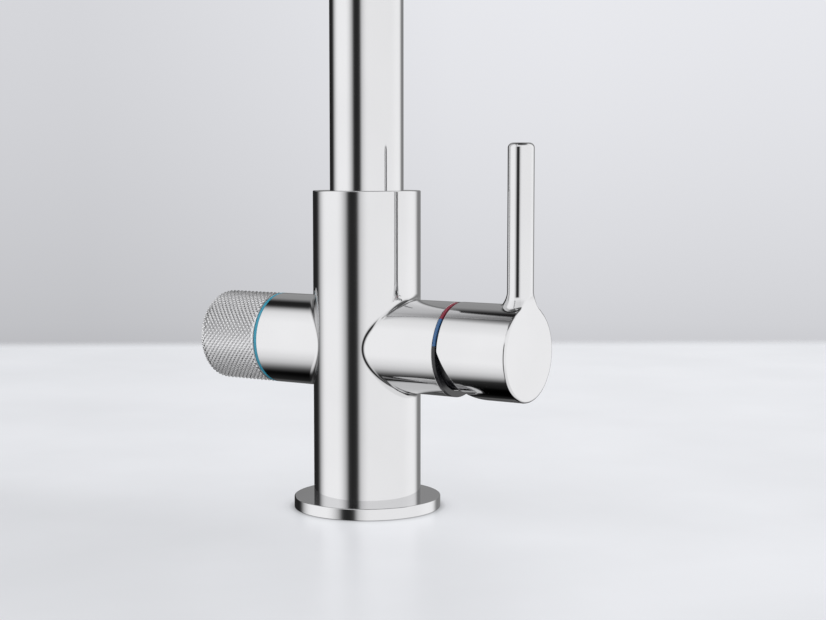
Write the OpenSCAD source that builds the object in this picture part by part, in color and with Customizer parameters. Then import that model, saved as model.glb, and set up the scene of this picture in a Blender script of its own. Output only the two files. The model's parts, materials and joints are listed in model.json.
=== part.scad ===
// Drinking water filter tap for a worktop. A mixer lever sits on the right arm, a knob for
// filtered water on the left arm, and a swan-neck spout carries a filter capsule.
// Millimetres, +Z up, +X towards the lever, -Y towards the user.
// The origin is the centre of the flange's underside, where the tap stands on the worktop.

/* [Body] */
// Outside diameter of the upright body
body_d = 41; // [38:0.5:46]
// Height of the body's top above the worktop
body_top = 121.3; // [116:0.1:140]
// Bevel round the body's top rim
rim_bevel = 0.5; // [0.3:0.1:1]
// Height of the axis that both side arms share
arm_z = 63; // [58:0.5:70]
// Outside diameter of the side arms
arm_d = 35.2; // [34.4:0.2:37.6]
// Distance from the body's axis to the right arm's end
right_reach = 40.3; // [39:0.1:46]
// Distance from the body's axis to the left arm's end
left_reach = 40.2; // [39:0.1:46]
// Distance from the body's axis to the floor of each arm's cavity
core_half = 14; // [12.5:0.5:15]

/* [Base] */
// Diameter of the round flange on the worktop
flange_d = 56.2; // [52:0.2:64]
// Thickness of the flange
flange_t = 4.4; // [3.6:0.1:6]
// Rounding of the flange's upper edge
flange_round = 0.9; // [0.4:0.1:1.5]
// Width of the sealing ring under the flange
base_seal_w = 3; // [2:0.2:4]
// Height of the sealing ring under the flange
base_seal_h = 1.8; // [1.2:0.1:2.4]
// Outside diameter of the threaded fixing shank
shank_d = 33; // [30:0.5:34]
// Bore of the shank, which the supply hoses pass through
shank_bore_d = 27; // [25:0.5:28]
// Length of the shank below the worktop's surface
shank_below = 55; // [52:1:70]
// Length of shank that screws up into the body
shank_in_body = 11.4; // [9:0.2:14]
// Thickness of worktop that the fixing is set for
worktop_t = 30; // [20:1:30]
// Diameter of the washers under the worktop
washer_d = 54; // [52:1:60]
// Thickness of the rubber washer
rubber_t = 3; // [2:0.5:4]
// Thickness of the steel washer
steel_t = 2; // [1.5:0.5:3]
// Thickness of the fixing nut
nut_t = 9; // [7:0.5:10]
// Gap that the clamp screws hold open between nut and steel washer
nut_gap = 2; // [1:0.5:3]
// Thread diameter of the clamp screws
clamp_screw_d = 6; // [5:0.5:6]
// Number of clamp screws
clamp_screws_n = 2; // [2:1:4]

/* [Waterways] */
// Tapping size of the two inlets
inlet_hole_d = 8.92; // [8:0.02:9.4]
// Depth of thread in each inlet
inlet_depth = 10; // [8:0.5:12]
// Distance between the two inlets
inlet_spacing = 12.2; // [11:0.2:13]
// Diameter of the drilled waterways to the mixer
waterway_d = 5; // [4:0.5:5.5]
// Diameter of the drilled waterways for filtered water
filter_way_d = 3; // [2.4:0.1:3.2]

/* [Mixer cartridge] */
// Outside diameter of the cartridge
cartridge_d = 25; // [24:0.2:25.4]
// Wall of the cartridge housing
housing_wall = 1.6; // [1.3:0.1:1.8]
// Thickness of the cartridge's base plate
plate_t = 3.4; // [3:0.1:4]
// Thickness of the ceramic disc that stands still
fixed_disc_t = 2.7; // [2.2:0.1:3]
// Thickness of the ceramic disc that slides
moving_disc_t = 2.5; // [2:0.1:2.8]
// Radius of the ceramic disc that slides
moving_disc_r = 8.2; // [7.6:0.1:8.3]
// Thickness of the carrier that drags the sliding disc
carrier_t = 3.4; // [3:0.1:3.6]
// Thread diameter of the cartridge nut
cartridge_nut_d = 28; // [27.6:0.1:29]
// Distance from the right arm's end back to the lever's tilt pivot
pivot_back = 4.3; // [3.8:0.1:4.8]
// Diameter of the pivot pin
pivot_pin_d = 3; // [2.4:0.2:3.4]
// Diameter of the cartridge's control stem
control_d = 8; // [7:0.2:8.2]
// Greatest tilt of the lever
tilt_max = 24; // [18:1:25]

/* [Mixer lever] */
// Diameter of the lever's round cap
cap_d = 35.4; // [35:0.1:37]
// Length of the cap along the arm
cap_len = 27.9; // [25:0.1:34]
// Wall left between the cap's hollow and its outside
cap_wall = 1.5; // [1.2:0.1:1.8]
// Angle of the slanted cut under the cap, which lets the lever tilt
cut_angle = 24.5; // [22:0.5:27]
// Rounding between the slanted cut and the cap's underside
cut_round = 6; // [3:0.5:8]
// Diameter of the lever's rod
rod_d = 9.6; // [8:0.1:11]
// How far the rod stands out past the cap's face
rod_proud = 1.5; // [0:0.1:2.5]
// Height of the rod's top above the worktop
rod_top = 138.7; // [120:0.1:170]
// Rounding of the rod's top edge
rod_round = 1.9; // [1:0.1:3]
// Extra radius of the rod's flared foot
foot_flare = 2.3; // [1:0.1:3]
// Radius of the hollow curve that runs from the foot into the rod
foot_curve = 6.5; // [4:0.5:9]
// Height of the foot above the cap's highest line
foot_h = 4.4; // [3:0.1:6]
// Radius of the curve by which the cap's flat face runs out into the rod
face_run_out = 8; // [6:0.5:12]
// Width of the coloured ring between the arm and the cap
ring_w = 1.4; // [1:0.1:2]
// Gap between the ring and the cap
cap_gap = 0.7; // [0.6:0.1:1.2]

/* [Filtered water knob] */
// Diameter of the knurled knob
knob_d = 35.2; // [34.6:0.2:37]
// Length of the knob
knob_len = 28.1; // [27:0.1:34]
// Rounding of the knob's outer edge
knob_round = 4; // [1:0.5:5]
// Width of the teal ring beside the knob
teal_w = 1.3; // [1:0.1:2]
// Gap between the teal ring and the knob
knob_gap = 0.4; // [0.3:0.1:1]
// Thread diameter of the valve head
valve_d = 20.95; // [20:0.05:21.2]
// Size across the flats of the valve head's hexagon
valve_af = 24; // [22:0.5:24]
// Diameter of the valve's spindle
spindle_d = 8; // [7:0.2:8.4]
// Diameter of the splined insert in the knob
insert_d = 15; // [13:0.5:17]

/* [Spout] */
// Outside diameter of the spout's tube
spout_d = 28; // [26:0.5:30]
// Wall of the spout's tube
spout_wall = 1.2; // [1:0.1:1.5]
// Height where the riser ends and the bend starts
spring_z = 292; // [240:1:330]
// Distance from the riser's axis to the outlet's axis
spout_reach = 190; // [160:1:220]
// Straight length of tube after the bend
leg_len = 14; // [13:0.5:30]
// Depth that the tube's foot stands in the body
socket_depth = 9; // [7:0.5:11]
// Diameter of the stem that turns in the body
stem_d = 24; // [22:0.5:25]
// Bore of the stem
stem_bore_d = 16; // [14:0.5:17]
// Thickness of the slip ring under the stem's shoulder
slip_t = 1; // [0.8:0.1:1.4]
// Section of the stem's sealing rings
stem_seal_t = 2; // [1.6:0.1:2.2]
// Turn of the spout to each side
swivel = 90; // [60:5:120]
// Outside diameter of the inner tube for filtered water
inner_tube_d = 6; // [5:0.2:6.4]
// Bore of the inner tube for filtered water
inner_tube_bore = 4; // [3:0.2:4.2]

/* [Filter holder] */
// Diameter of the holder's sleeve
sleeve_d = 33; // [32:0.2:36]
// Length of the sleeve
sleeve_len = 62; // [56:1:90]
// Wall of the sleeve
sleeve_wall = 1.4; // [1.2:0.1:1.5]
// Height of the collar between tube and sleeve
collar_h = 4; // [3:0.5:6]
// Length of thread that joins the sleeve to the collar
holder_thread = 10; // [8:0.5:12]
// Diameter of the capsule's neck
neck_d = 11; // [9:0.5:12]
// Height of the knurled nozzle ring
nozzle_h = 14; // [12:0.5:18]
// Diameter of the aerator's housing
aerator_d = 24; // [22:0.5:25]

/* [Clearances] */
// Radial clearance of turning and sliding fits
fit = 0.05; // [0.03:0.01:0.08]
// Gap between pieces that rest against each other
seat = 0.1; // [0.05:0.01:0.15]
// Gap between pieces that pass each other
pass = 0.4; // [0.3:0.05:0.5]

/* [Hidden] */
$fn = 96;
eps = 0.01;

body_r = body_d / 2;
arm_r = arm_d / 2;
shank_r = shank_d / 2;
spout_r = spout_d / 2;
stem_r = stem_d / 2;

// Levels in the base
web_z = flange_t + shank_in_body + seat;
inlet_y = inlet_spacing / 2;
base_seal_r = (shank_r + flange_d / 2) / 2 + 0.4;
washer_bore_r = shank_r + 0.3;
rubber_z = -worktop_t - rubber_t;
steel_z = rubber_z - steel_t;
nut_top = steel_z - nut_gap;
clamp_head_h = 3.5;
clamp_circle_r = (shank_r + washer_d / 2) / 2;

// Levels in the upper body
valve_room_r = valve_d / 2 + 1.1;
gallery_z = arm_z + (valve_room_r + arm_r) / 2;
gallery_u = core_half + 4.8;
inner_tube_end = gallery_z + filter_way_d / 2 + 0.3;
chamber_floor = gallery_z + 8;
tube_seal_z = (inner_tube_end + chamber_floor) / 2 - 0.5;
tube_seal_t = 1.6;
socket_floor = body_top - socket_depth;
stem_bottom = chamber_floor + 2.3;
shoulder_z = socket_floor + slip_t + seat;
shoulder_t = 2;
tube_foot = shoulder_z + shoulder_t;
stop_z = (stem_bottom + socket_floor) / 2;
set_screw_r = 2.5;
set_tip_r = 1.9;
stop_depth = 1.8;
stop_floor_r = stem_r - stop_depth;
stop_margin = asin((set_tip_r + pass) / stop_floor_r);
seal_groove_w = stem_seal_t + 0.3;
stem_spigot = 12;

// Ports between the body's core and the cartridge: hot and cold below, mixed above
port_circle_r = inlet_y / cos(30);
port_z = arm_z - port_circle_r * sin(30);
outlet_x = stem_r - waterway_d / 2 - 1.5;
feed_y = inlet_y - waterway_d / 2 + 0.6;
feed_d = 4;

// Places along the right arm, from the body's axis
cartridge_r = cartridge_d / 2;
housing_inner_r = cartridge_r - housing_wall;
plate_x = core_half + fit;
fixed_x = plate_x + plate_t;
moving_x = fixed_x + fixed_disc_t + seat;
carrier_x = moving_x + moving_disc_t;
rotor_x = carrier_x + carrier_t + 0.3;
pivot_x = right_reach - pivot_back;
lip_t = 2.5;
housing_end = right_reach - 1.8;
lip_x = housing_end - lip_t;
nut_skirt = 7.3;
nut_head = 3;
mouth_r = cartridge_nut_d / 2 + fit;
rotor_r = housing_inner_r - fit;
rotor_neck_r = rotor_r - 2.4;
rotor_end = right_reach + 0.2;
control_r = control_d / 2;
ball_r = 2.3;
ball_x = carrier_x + 2.9;
ball_travel = (pivot_x - ball_x) * tilt_max * PI / 180;
disc_offset = ball_travel / 2;
swing = tan(tilt_max);
swing_r = control_r / cos(tilt_max) + pass;

// The lever's cap, hollowed by a sphere about the tilt pivot so that it clears the dome
cap_r = cap_d / 2;
hollow_r = cap_r - cap_wall;
dome_r = hollow_r - 0.5;
dome_t = 0.8;
dome_foot_r = sqrt(pow(dome_r, 2) - pow(pivot_back, 2));
dome_hole_r = dome_r * sin(tilt_max + asin(control_r / dome_r)) + pass;
cap_rear = right_reach + ring_w + cap_gap;
cap_face = cap_rear + cap_len;
cut_reach = cap_rear - pivot_x - 0.25;
rod_r = rod_d / 2;
rod_x = cap_face + rod_proud - rod_r;
foot_top = arm_z + cap_r + foot_h;
trim_top = arm_z + cap_r + 0.3;
control_end = cap_face - 8;
lever_screw_x = (pivot_x + hollow_r + control_end) / 2 - 1.5;
lever_screw_r = 2.5;

// Coloured arcs in the ring, as angles above the horizontal on the user's side
mark_depth = 0.8;
mark_inset = 0.1;
mark_low = 9;
mark_middle = 45;
mark_high = 86;

// Places along the left arm, from the body's axis
valve_seal_t = 2.9;
valve_u = core_half + valve_seal_t + seat;
valve_fixed_t = 2.5;
valve_turning_t = 2.4;
turning_u = valve_u + valve_fixed_t + 2 * seat;
drive_u = turning_u + valve_turning_t;
drive_t = 3.6;
valve_pocket_end = drive_u + drive_t + pass;
valve_pocket_r = valve_d / 2 - 1.9;
valve_room_end = valve_pocket_end - 2.5;
hex_u = left_reach - 4.1;
hex_end = left_reach + 2.3;
hex_r = valve_af / 2 / cos(30);
hex_room_r = hex_r + 0.35;
teal_inner_r = hex_room_r + 0.05;
valve_neck_r = 7.4;
valve_neck_end = hex_end + 8.5;
first_seal_u = valve_pocket_end + 4;
second_seal_u = first_seal_u + 5;
spindle_r = spindle_d / 2;
clip_t = 0.8;
clip_u = valve_neck_end + 0.2;
knob_u = left_reach + teal_w + knob_gap;
knob_end = knob_u + knob_len;
knob_room_end = clip_u + clip_t + 0.5;
knob_room_r = hex_r + 0.75;
insert_r = insert_d / 2;
insert_len = 11;
insert_end = knob_room_end + insert_len;
spindle_end = insert_end - 1;
knob_screw_u = knob_room_end + insert_len / 2;
knob_screw_r = 2;
spindle_seal_t = 1.4;

// The spout's far end
bend_r = spout_reach / 2;
bore_r = spout_r - spout_wall;
leg_end = spring_z - leg_len;
collar_z = leg_end - collar_h;
fitting_top = leg_end + leg_len - 2;
holder_r = sleeve_d / 2;
sleeve_inner_r = holder_r - sleeve_wall;
holder_thread_r = sleeve_inner_r - 0.5;
fitting_end = collar_z - holder_thread;
sleeve_top = collar_z - seat;
sleeve_end = sleeve_top - sleeve_len;
nozzle_spigot = 5;
nozzle_end = sleeve_end - nozzle_h;
mixed_port_r = 1.8;
neck_r = neck_d / 2;
neck_len = holder_thread - 1.5;
capsule_top = fitting_end - 1.5;
capsule_end = sleeve_end + nozzle_spigot + 0.3;
capsule_r = sleeve_inner_r - 1.9;
capsule_wall = 1.3;
capsule_cap_h = 5;
neck_seal_t = 1.5;
aerator_r = aerator_d / 2;
aerator_h = 11;
aerator_wall = 1.8;

// A plain round tube, standing on z = 0
module tube(r_out, r_in, h) {
    difference() {
        cylinder(r = r_out, h = h);
        translate([0, 0, -eps]) cylinder(r = r_in, h = h + 2 * eps);
    }
}

// A round ring of round section, lying about the Z axis
module round_ring(r_mid, r_section) {
    rotate_extrude() translate([r_mid, 0]) circle(r = r_section, $fn = 32);
}

// A cylinder with a bevel at its top
module bevelled(r, h, bevel) {
    cylinder(r = r, h = h - bevel);
    translate([0, 0, h - bevel]) cylinder(r1 = r, r2 = r - bevel, h = bevel);
}

// A cylinder whose top edge is rounded
module rounded_top(r, h, round_r) {
    rotate_extrude() {
        square([r, h - round_r]);
        square([r - round_r, h]);
        translate([r - round_r, h - round_r]) intersection() {
            circle(r = round_r, $fn = 64);
            square(round_r);
        }
    }
}

// Puts a child's +Z along the right arm, at a distance from the body's axis
module right_arm(x = 0) {
    translate([x, 0, arm_z]) rotate([0, 90, 0]) children();
}

// Puts a child's +Z along the left arm, at a distance from the body's axis
module left_arm(u = 0) {
    translate([-u, 0, arm_z]) rotate([0, -90, 0]) children();
}

// A place over the outlet, at a height above the worktop
module at_outlet(z) {
    translate([0, -spout_reach, z]) children();
}

// The three cartridge ports in the plane across the right arm
module at_ports() {
    for (a = [0, 120, 240]) rotate([0, 0, a + 180]) translate([port_circle_r, 0, 0]) children();
}

// The brass casting: the upright body and both arms, bored for everything that it holds
module tap_body() {
    color("silver") difference() {
        union() {
            translate([0, 0, flange_t]) bevelled(body_r, body_top - flange_t, rim_bevel);
            right_arm() cylinder(r = arm_r, h = right_reach);
            left_arm() cylinder(r = arm_r, h = left_reach);
        }
        spout_bores();
        inlet_bores();
        cartridge_bores();
        valve_bores();
    }
}

module spout_bores() {
    translate([0, 0, socket_floor]) cylinder(r = spout_r + fit, h = socket_depth + eps);
    translate([0, 0, chamber_floor]) cylinder(r = stem_r + fit, h = body_top - chamber_floor);
    translate([0, 0, gallery_z])
        cylinder(r = inner_tube_d / 2 + fit, h = chamber_floor - gallery_z + eps);
    translate([0, 0, tube_seal_z])
        cylinder(r = inner_tube_d / 2 + fit + tube_seal_t, h = tube_seal_t + fit);
    translate([0, 0, stop_z]) rotate([-90, 0, 0]) cylinder(r = set_screw_r + fit, h = body_d);
}

module inlet_bores() {
    translate([0, 0, flange_t - eps]) cylinder(r = shank_r + fit, h = web_z - flange_t + eps);
    for (side = [-1, 1]) translate([0, side * inlet_y, 0]) {
        translate([0, 0, web_z - eps]) cylinder(d = inlet_hole_d, h = inlet_depth + eps);
        translate([0, 0, web_z]) cylinder(d = waterway_d, h = port_z - web_z);
        translate([0, 0, port_z]) rotate([0, 90, 0]) cylinder(d = waterway_d, h = core_half + eps);
    }
}

module cartridge_bores() {
    right_arm(core_half) cylinder(r = cartridge_r + fit, h = right_reach);
    right_arm(right_reach - nut_skirt) cylinder(r = mouth_r, h = nut_skirt + eps);
    translate([outlet_x, 0, arm_z + port_circle_r]) {
        cylinder(d = waterway_d, h = chamber_floor + eps - arm_z - port_circle_r);
        rotate([0, 90, 0]) cylinder(d = waterway_d, h = core_half + eps - outlet_x);
    }
}

module valve_bores() {
    left_arm(core_half) cylinder(r = valve_room_r, h = valve_room_end - core_half);
    left_arm(core_half) cylinder(r = valve_d / 2 + fit, h = left_reach);
    left_arm(hex_u) cylinder(r = hex_room_r, h = left_reach);
    // Cold water reaches the valve from the cold inlet's waterway
    translate([0, inlet_y, port_z - eps]) cylinder(d = waterway_d, h = arm_z - port_z);
    translate([0, feed_y, arm_z - 1]) rotate([0, -90, 0]) cylinder(d = feed_d, h = core_half + eps);
    // Water leaves the valve upwards, then runs to the inner tube's seat
    translate([-gallery_u, 0, arm_z + valve_pocket_r])
        cylinder(d = filter_way_d, h = gallery_z - arm_z - valve_pocket_r);
    translate([-gallery_u, 0, gallery_z]) rotate([0, 90, 0]) cylinder(d = filter_way_d, h = gallery_u);
}

// Round foot plate, with a groove for its seal
module base_flange() {
    color("silver") difference() {
        rounded_top(flange_d / 2, flange_t, flange_round);
        translate([0, 0, -eps]) cylinder(r = washer_bore_r, h = flange_t + 2 * eps);
        translate([0, 0, -eps])
            tube(base_seal_r + base_seal_w / 2 + fit, base_seal_r - base_seal_w / 2 - fit,
                 base_seal_h + fit + eps);
    }
}

module base_seal() {
    color("dimgray") tube(base_seal_r + base_seal_w / 2, base_seal_r - base_seal_w / 2, base_seal_h);
}

module fixing_shank() {
    color("darkgoldenrod") translate([0, 0, -shank_below])
        tube(shank_r, shank_bore_d / 2, web_z - seat + shank_below);
}

module rubber_washer() {
    color("dimgray") translate([0, 0, rubber_z]) tube(washer_d / 2, washer_bore_r, rubber_t);
}

module steel_washer() {
    color("gainsboro") translate([0, 0, steel_z]) tube(washer_d / 2, washer_bore_r, steel_t);
}

module at_clamp_screws() {
    for (i = [0 : clamp_screws_n - 1])
        rotate([0, 0, i * 360 / clamp_screws_n]) translate([clamp_circle_r, 0, 0]) children();
}

// Ring nut with two spanner flats and the threads for the clamp screws
module fixing_nut() {
    color("darkgoldenrod") translate([0, 0, nut_top - nut_t]) difference() {
        intersection() {
            tube(washer_d / 2, shank_r + fit, nut_t);
            translate([-washer_d, -washer_d / 2 + 2, -eps]) cube([2 * washer_d, washer_d - 4, nut_t + 1]);
        }
        at_clamp_screws() translate([0, 0, -eps])
            cylinder(d = clamp_screw_d + 2 * fit, h = nut_t + 2 * eps);
    }
}

// Hexagon screws that push the washers up against the worktop
module clamp_screws() {
    color("gainsboro") at_clamp_screws() {
        translate([0, 0, nut_top - nut_t - 3])
            cylinder(d = clamp_screw_d, h = nut_t + nut_gap + 3);
        translate([0, 0, nut_top - nut_t - 3 - clamp_head_h])
            cylinder(d = clamp_screw_d * 1.5, h = clamp_head_h, $fn = 6);
    }
}

// Grub screw at the body's back: its tip runs in the stem's stop groove
module spout_set_screw() {
    color("gainsboro") translate([0, 0, stop_z]) rotate([-90, 0, 0]) difference() {
        union() {
            translate([0, 0, stem_r + pass]) cylinder(r = set_screw_r, h = body_r - stem_r - pass - 1);
            translate([0, 0, stop_floor_r + pass]) cylinder(r = set_tip_r, h = stop_depth + pass);
        }
        translate([0, 0, body_r - 3.5]) cylinder(r = 1.4, h = 4, $fn = 6);
    }
}

module slip_ring() {
    color("white") translate([0, 0, socket_floor]) tube(spout_r - 0.3, stem_r + 0.3, slip_t);
}

module inner_tube_seal() {
    color("dimgray") translate([0, 0, tube_seal_z + fit / 2])
        tube(inner_tube_d / 2 + tube_seal_t, inner_tube_d / 2 + fit, tube_seal_t);
}

// Plate that carries the cartridge's port seals
module cartridge_base() {
    color("white") right_arm(plate_x) difference() {
        cylinder(r = cartridge_r - fit, h = plate_t);
        translate([0, 0, -eps]) at_ports() {
            cylinder(d = waterway_d, h = plate_t + 2 * eps);
            cylinder(d = waterway_d + 2, h = 0.9);
        }
    }
}

module port_seals() {
    color("dimgray") right_arm(core_half) at_ports()
        tube(waterway_d / 2 + 1 - fit, waterway_d / 2, 0.9);
}

module fixed_disc() {
    color("ivory") right_arm(fixed_x) difference() {
        cylinder(r = housing_inner_r - fit, h = fixed_disc_t);
        translate([0, 0, -eps]) at_ports() cylinder(d = waterway_d, h = fixed_disc_t + 2 * eps);
    }
}

module cartridge_housing() {
    color("white") difference() {
        right_arm(fixed_x) cylinder(r = cartridge_r - fit, h = housing_end - fixed_x);
        right_arm(fixed_x - eps) cylinder(r = housing_inner_r, h = lip_x - fixed_x + eps);
        right_arm(lip_x - eps) cylinder(r = rotor_neck_r + 2 * fit, h = lip_t + 2 * eps);
    }
}

// Nut that holds the cartridge down, with a hexagon under the dome
module cartridge_nut() {
    color("darkgoldenrod") difference() {
        union() {
            right_arm(right_reach - nut_skirt)
                cylinder(r = cartridge_nut_d / 2, h = nut_skirt);
            right_arm(right_reach) cylinder(r = cartridge_r + 0.4, h = nut_head, $fn = 6);
        }
        right_arm(right_reach - nut_skirt - eps)
            cylinder(r = cartridge_r + fit, h = housing_end - right_reach + nut_skirt + seat);
        right_arm(housing_end) cylinder(r = rotor_neck_r + 0.6, h = nut_head + 3);
    }
}

// Domed cover over the cartridge nut, centred on the tilt pivot
module dome_cover() {
    color("black") translate([pivot_x, 0, arm_z]) difference() {
        sphere(r = dome_r);
        sphere(r = dome_r - dome_t);
        translate([pivot_back - 2 * dome_r, -2 * dome_r, -2 * dome_r])
            cube([2 * dome_r, 4 * dome_r, 4 * dome_r]);
        rotate([0, 90, 0]) cylinder(r = dome_hole_r, h = 2 * dome_r);
    }
}

// An arc of the ring's channel, between two angles above the horizontal on the user's side
module ring_arc(r_out, r_in, from, to, w) {
    rotate([0, 0, 270 - to]) rotate_extrude(angle = to - from)
        translate([r_in, 0]) square([r_out - r_in, w]);
}

module indicator_ring() {
    color("darkslategray") right_arm(right_reach) difference() {
        tube(arm_r, dome_foot_r + 0.15, ring_w);
        translate([0, 0, mark_inset])
            ring_arc(arm_r + 1, arm_r - mark_depth, mark_low, mark_high, ring_w - 2 * mark_inset);
    }
}

module hot_mark() {
    color("crimson") right_arm(right_reach + mark_inset)
        ring_arc(arm_r, arm_r - mark_depth, mark_middle, mark_high, ring_w - 2 * mark_inset);
}

module cold_mark() {
    color("royalblue") right_arm(right_reach + mark_inset)
        ring_arc(arm_r, arm_r - mark_depth, mark_low, mark_middle, ring_w - 2 * mark_inset);
}

// Turns with the lever, and carries its tilt pin
module cartridge_rotor() {
    color("white") difference() {
        union() {
            right_arm(rotor_x) cylinder(r = rotor_r, h = lip_x - seat - rotor_x);
            right_arm(rotor_x) cylinder(r = rotor_neck_r, h = rotor_end - rotor_x);
        }
        // Room for the stem's inner half, which swings up, and its outer half, which swings down
        translate([rotor_x - eps, -control_r - pass, arm_z - swing_r])
            cube([pivot_x - rotor_x + eps, control_d + 2 * pass,
                  2 * swing_r + (pivot_x - rotor_x) * swing]);
        translate([pivot_x - eps, -control_r - pass, arm_z - swing_r - (rotor_end - pivot_x) * swing])
            cube([rotor_end - pivot_x + 2 * eps, control_d + 2 * pass,
                  2 * swing_r + (rotor_end - pivot_x) * swing]);
        pivot_hole(pivot_pin_d / 2);
    }
}

module pivot_hole(r) {
    translate([pivot_x, 0, arm_z]) rotate([90, 0, 0])
        cylinder(r = r, h = 2 * rotor_neck_r + 2, center = true);
}

module pivot_pin() {
    color("gainsboro") translate([pivot_x, 0, arm_z]) rotate([90, 0, 0])
        cylinder(d = pivot_pin_d, h = 2 * rotor_neck_r - 1.6, center = true);
}

module moving_disc() {
    color("ivory") translate([0, 0, -disc_offset]) right_arm(moving_x) difference() {
        cylinder(r = moving_disc_r, h = moving_disc_t);
        translate([0, 0, -eps]) intersection() {
            cylinder(r = moving_disc_r - 2, h = 1.2);
            translate([-moving_disc_r, -port_circle_r, 0]) cube([moving_disc_r, 2 * port_circle_r, 1.2]);
        }
    }
}

// Holds the sliding disc, with a hole that the stem's ball end drives
module disc_carrier() {
    color("white") difference() {
        translate([0, 0, -disc_offset]) right_arm(carrier_x) cylinder(r = moving_disc_r, h = carrier_t);
        right_arm(carrier_x - eps) cylinder(r = ball_r + 0.45, h = carrier_t + 2 * eps);
    }
}

// Control stem: ball end in the carrier, pivot in the rotor, outer end in the cap
module cartridge_stem() {
    color("gainsboro") difference() {
        union() {
            right_arm(ball_x) sphere(r = ball_r, $fn = 48);
            right_arm(ball_x) cylinder(r = ball_r - 0.5, h = 5);
            right_arm(ball_x + 4) cylinder(r = control_r, h = control_end - ball_x - 4);
        }
        pivot_hole(pivot_pin_d / 2 + fit);
    }
}

// The slanted cut under the cap, rounded where it meets the cap's underside
module cap_cut() {
    translate([pivot_x, 0, arm_z]) rotate([0, -cut_angle, 0])
        translate([-4 * cap_r, -2 * cap_r, -4 * cap_r]) cube([4 * cap_r + cut_reach, 4 * cap_r, 8 * cap_r]);
}

// What the rounding takes off the corner between the cut and the underside
module cap_cut_round() {
    corner_x = (cut_reach + cap_r * sin(cut_angle)) / cos(cut_angle);
    round_back = cut_round * tan(45 - cut_angle / 2);
    translate([pivot_x + corner_x + round_back, 0, arm_z - cap_r]) rotate([90, 0, 0]) difference() {
        translate([-round_back - cut_round, -1, -2 * cap_r])
            cube([round_back + cut_round, cut_round * (1 - sin(cut_angle)) + 1, 4 * cap_r]);
        translate([0, cut_round, -3 * cap_r]) cylinder(r = cut_round, h = 6 * cap_r);
    }
}

// Flared foot of the rod: an upright rim on the cap, then a hollow curve into the rod
module rod_foot() {
    translate([rod_x, 0, arm_z]) rotate_extrude() difference() {
        square([rod_r + foot_flare, foot_top - arm_z]);
        translate([rod_r + foot_curve, foot_top - arm_z]) circle(r = foot_curve, $fn = 96);
    }
}

// What is taken off the rod and its foot in front of the cap's face: flush at the cap, and
// running out above it along a hollow curve
module face_trim() {
    translate([cap_face, -cap_r, arm_z - 1])
        cube([foot_flare + rod_proud + 1, cap_d, trim_top - arm_z + 1]);
    translate([cap_face + face_run_out, cap_r, trim_top]) rotate([90, 0, 0])
        cylinder(r = face_run_out, h = cap_d);
}

// Cap and rod in one casting
module mixer_lever() {
    color("silver") difference() {
        union() {
            right_arm(cap_rear) bevelled(cap_r, cap_len, 0.4);
            translate([rod_x, 0, arm_z]) rounded_top(rod_r, rod_top - arm_z, rod_round);
            rod_foot();
        }
        face_trim();
        translate([pivot_x, 0, arm_z]) sphere(r = hollow_r);
        cap_cut();
        cap_cut_round();
        right_arm(pivot_x) cylinder(r = control_r + fit / 2, h = control_end + 0.2 - pivot_x);
        translate([lever_screw_x, 0, arm_z - cap_r - eps]) cylinder(r = lever_screw_r, h = cap_r);
    }
}

module lever_grub_screw() {
    screw_bottom = arm_z - cap_r + 1;
    color("gainsboro") translate([lever_screw_x, 0, screw_bottom]) difference() {
        cylinder(r = lever_screw_r - fit, h = cap_r - 1 - control_r - fit);
        translate([0, 0, -eps]) cylinder(r = 1.4, h = 3, $fn = 6);
    }
}

// Screwed head of the filtered water valve
module valve_body() {
    color("darkgoldenrod") difference() {
        union() {
            left_arm(valve_u) cylinder(d = valve_d, h = hex_u - valve_u + seat);
            left_arm(hex_u + seat) cylinder(r = hex_r, h = hex_end - hex_u - seat, $fn = 6);
            left_arm(hex_end - eps) cylinder(r = valve_neck_r, h = valve_neck_end - hex_end + eps);
        }
        left_arm(valve_u - eps) cylinder(r = valve_pocket_r, h = valve_pocket_end - valve_u + eps);
        left_arm(valve_u) cylinder(r = spindle_r + fit, h = valve_neck_end);
        // Side windows that let the water out of the valve
        for (a = [0, 90]) left_arm(turning_u) rotate([0, 0, a]) rotate([0, 90, 0])
            cylinder(d = 3.6, h = valve_d + 4, center = true);
    }
}

module valve_seal() {
    color("dimgray") left_arm(core_half) tube(valve_d / 2 - 0.8, valve_d / 2 - 4, valve_seal_t);
}

module valve_fixed_disc() {
    color("ivory") left_arm(valve_u + seat) difference() {
        cylinder(r = valve_pocket_r - fit, h = valve_fixed_t);
        for (side = [-1, 1]) translate([0, side * 4, -eps]) cylinder(r = 2, h = valve_fixed_t + 2 * eps);
    }
}

module teal_ring() {
    color("darkcyan") left_arm(left_reach) tube(arm_r, teal_inner_r, teal_w);
}

module valve_turning_disc() {
    color("ivory") left_arm(turning_u) difference() {
        cylinder(r = valve_pocket_r - 0.4, h = valve_turning_t);
        for (side = [-1, 1]) translate([side * 4, 0, -eps]) cylinder(r = 2, h = valve_turning_t + 2 * eps);
    }
}

// Spindle with its drive plate inside the valve and a groove for its clip
module valve_spindle() {
    color("gainsboro") difference() {
        union() {
            left_arm(drive_u) cylinder(r = valve_pocket_r - 0.4, h = drive_t);
            left_arm(drive_u) cylinder(r = spindle_r, h = spindle_end - drive_u);
        }
        left_arm(clip_u) tube(spindle_r + 1, spindle_r - 0.8, clip_t);
        at_spindle_seals() tube(spindle_r + 1, spindle_r - spindle_seal_t, spindle_seal_t + 2 * fit);
    }
}

module at_spindle_seals() {
    for (u = [first_seal_u, second_seal_u]) left_arm(u) children();
}

module spindle_seals() {
    color("dimgray") at_spindle_seals() translate([0, 0, spindle_seal_t / 2 + fit])
        round_ring(spindle_r - spindle_seal_t / 2, spindle_seal_t / 2);
}

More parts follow.
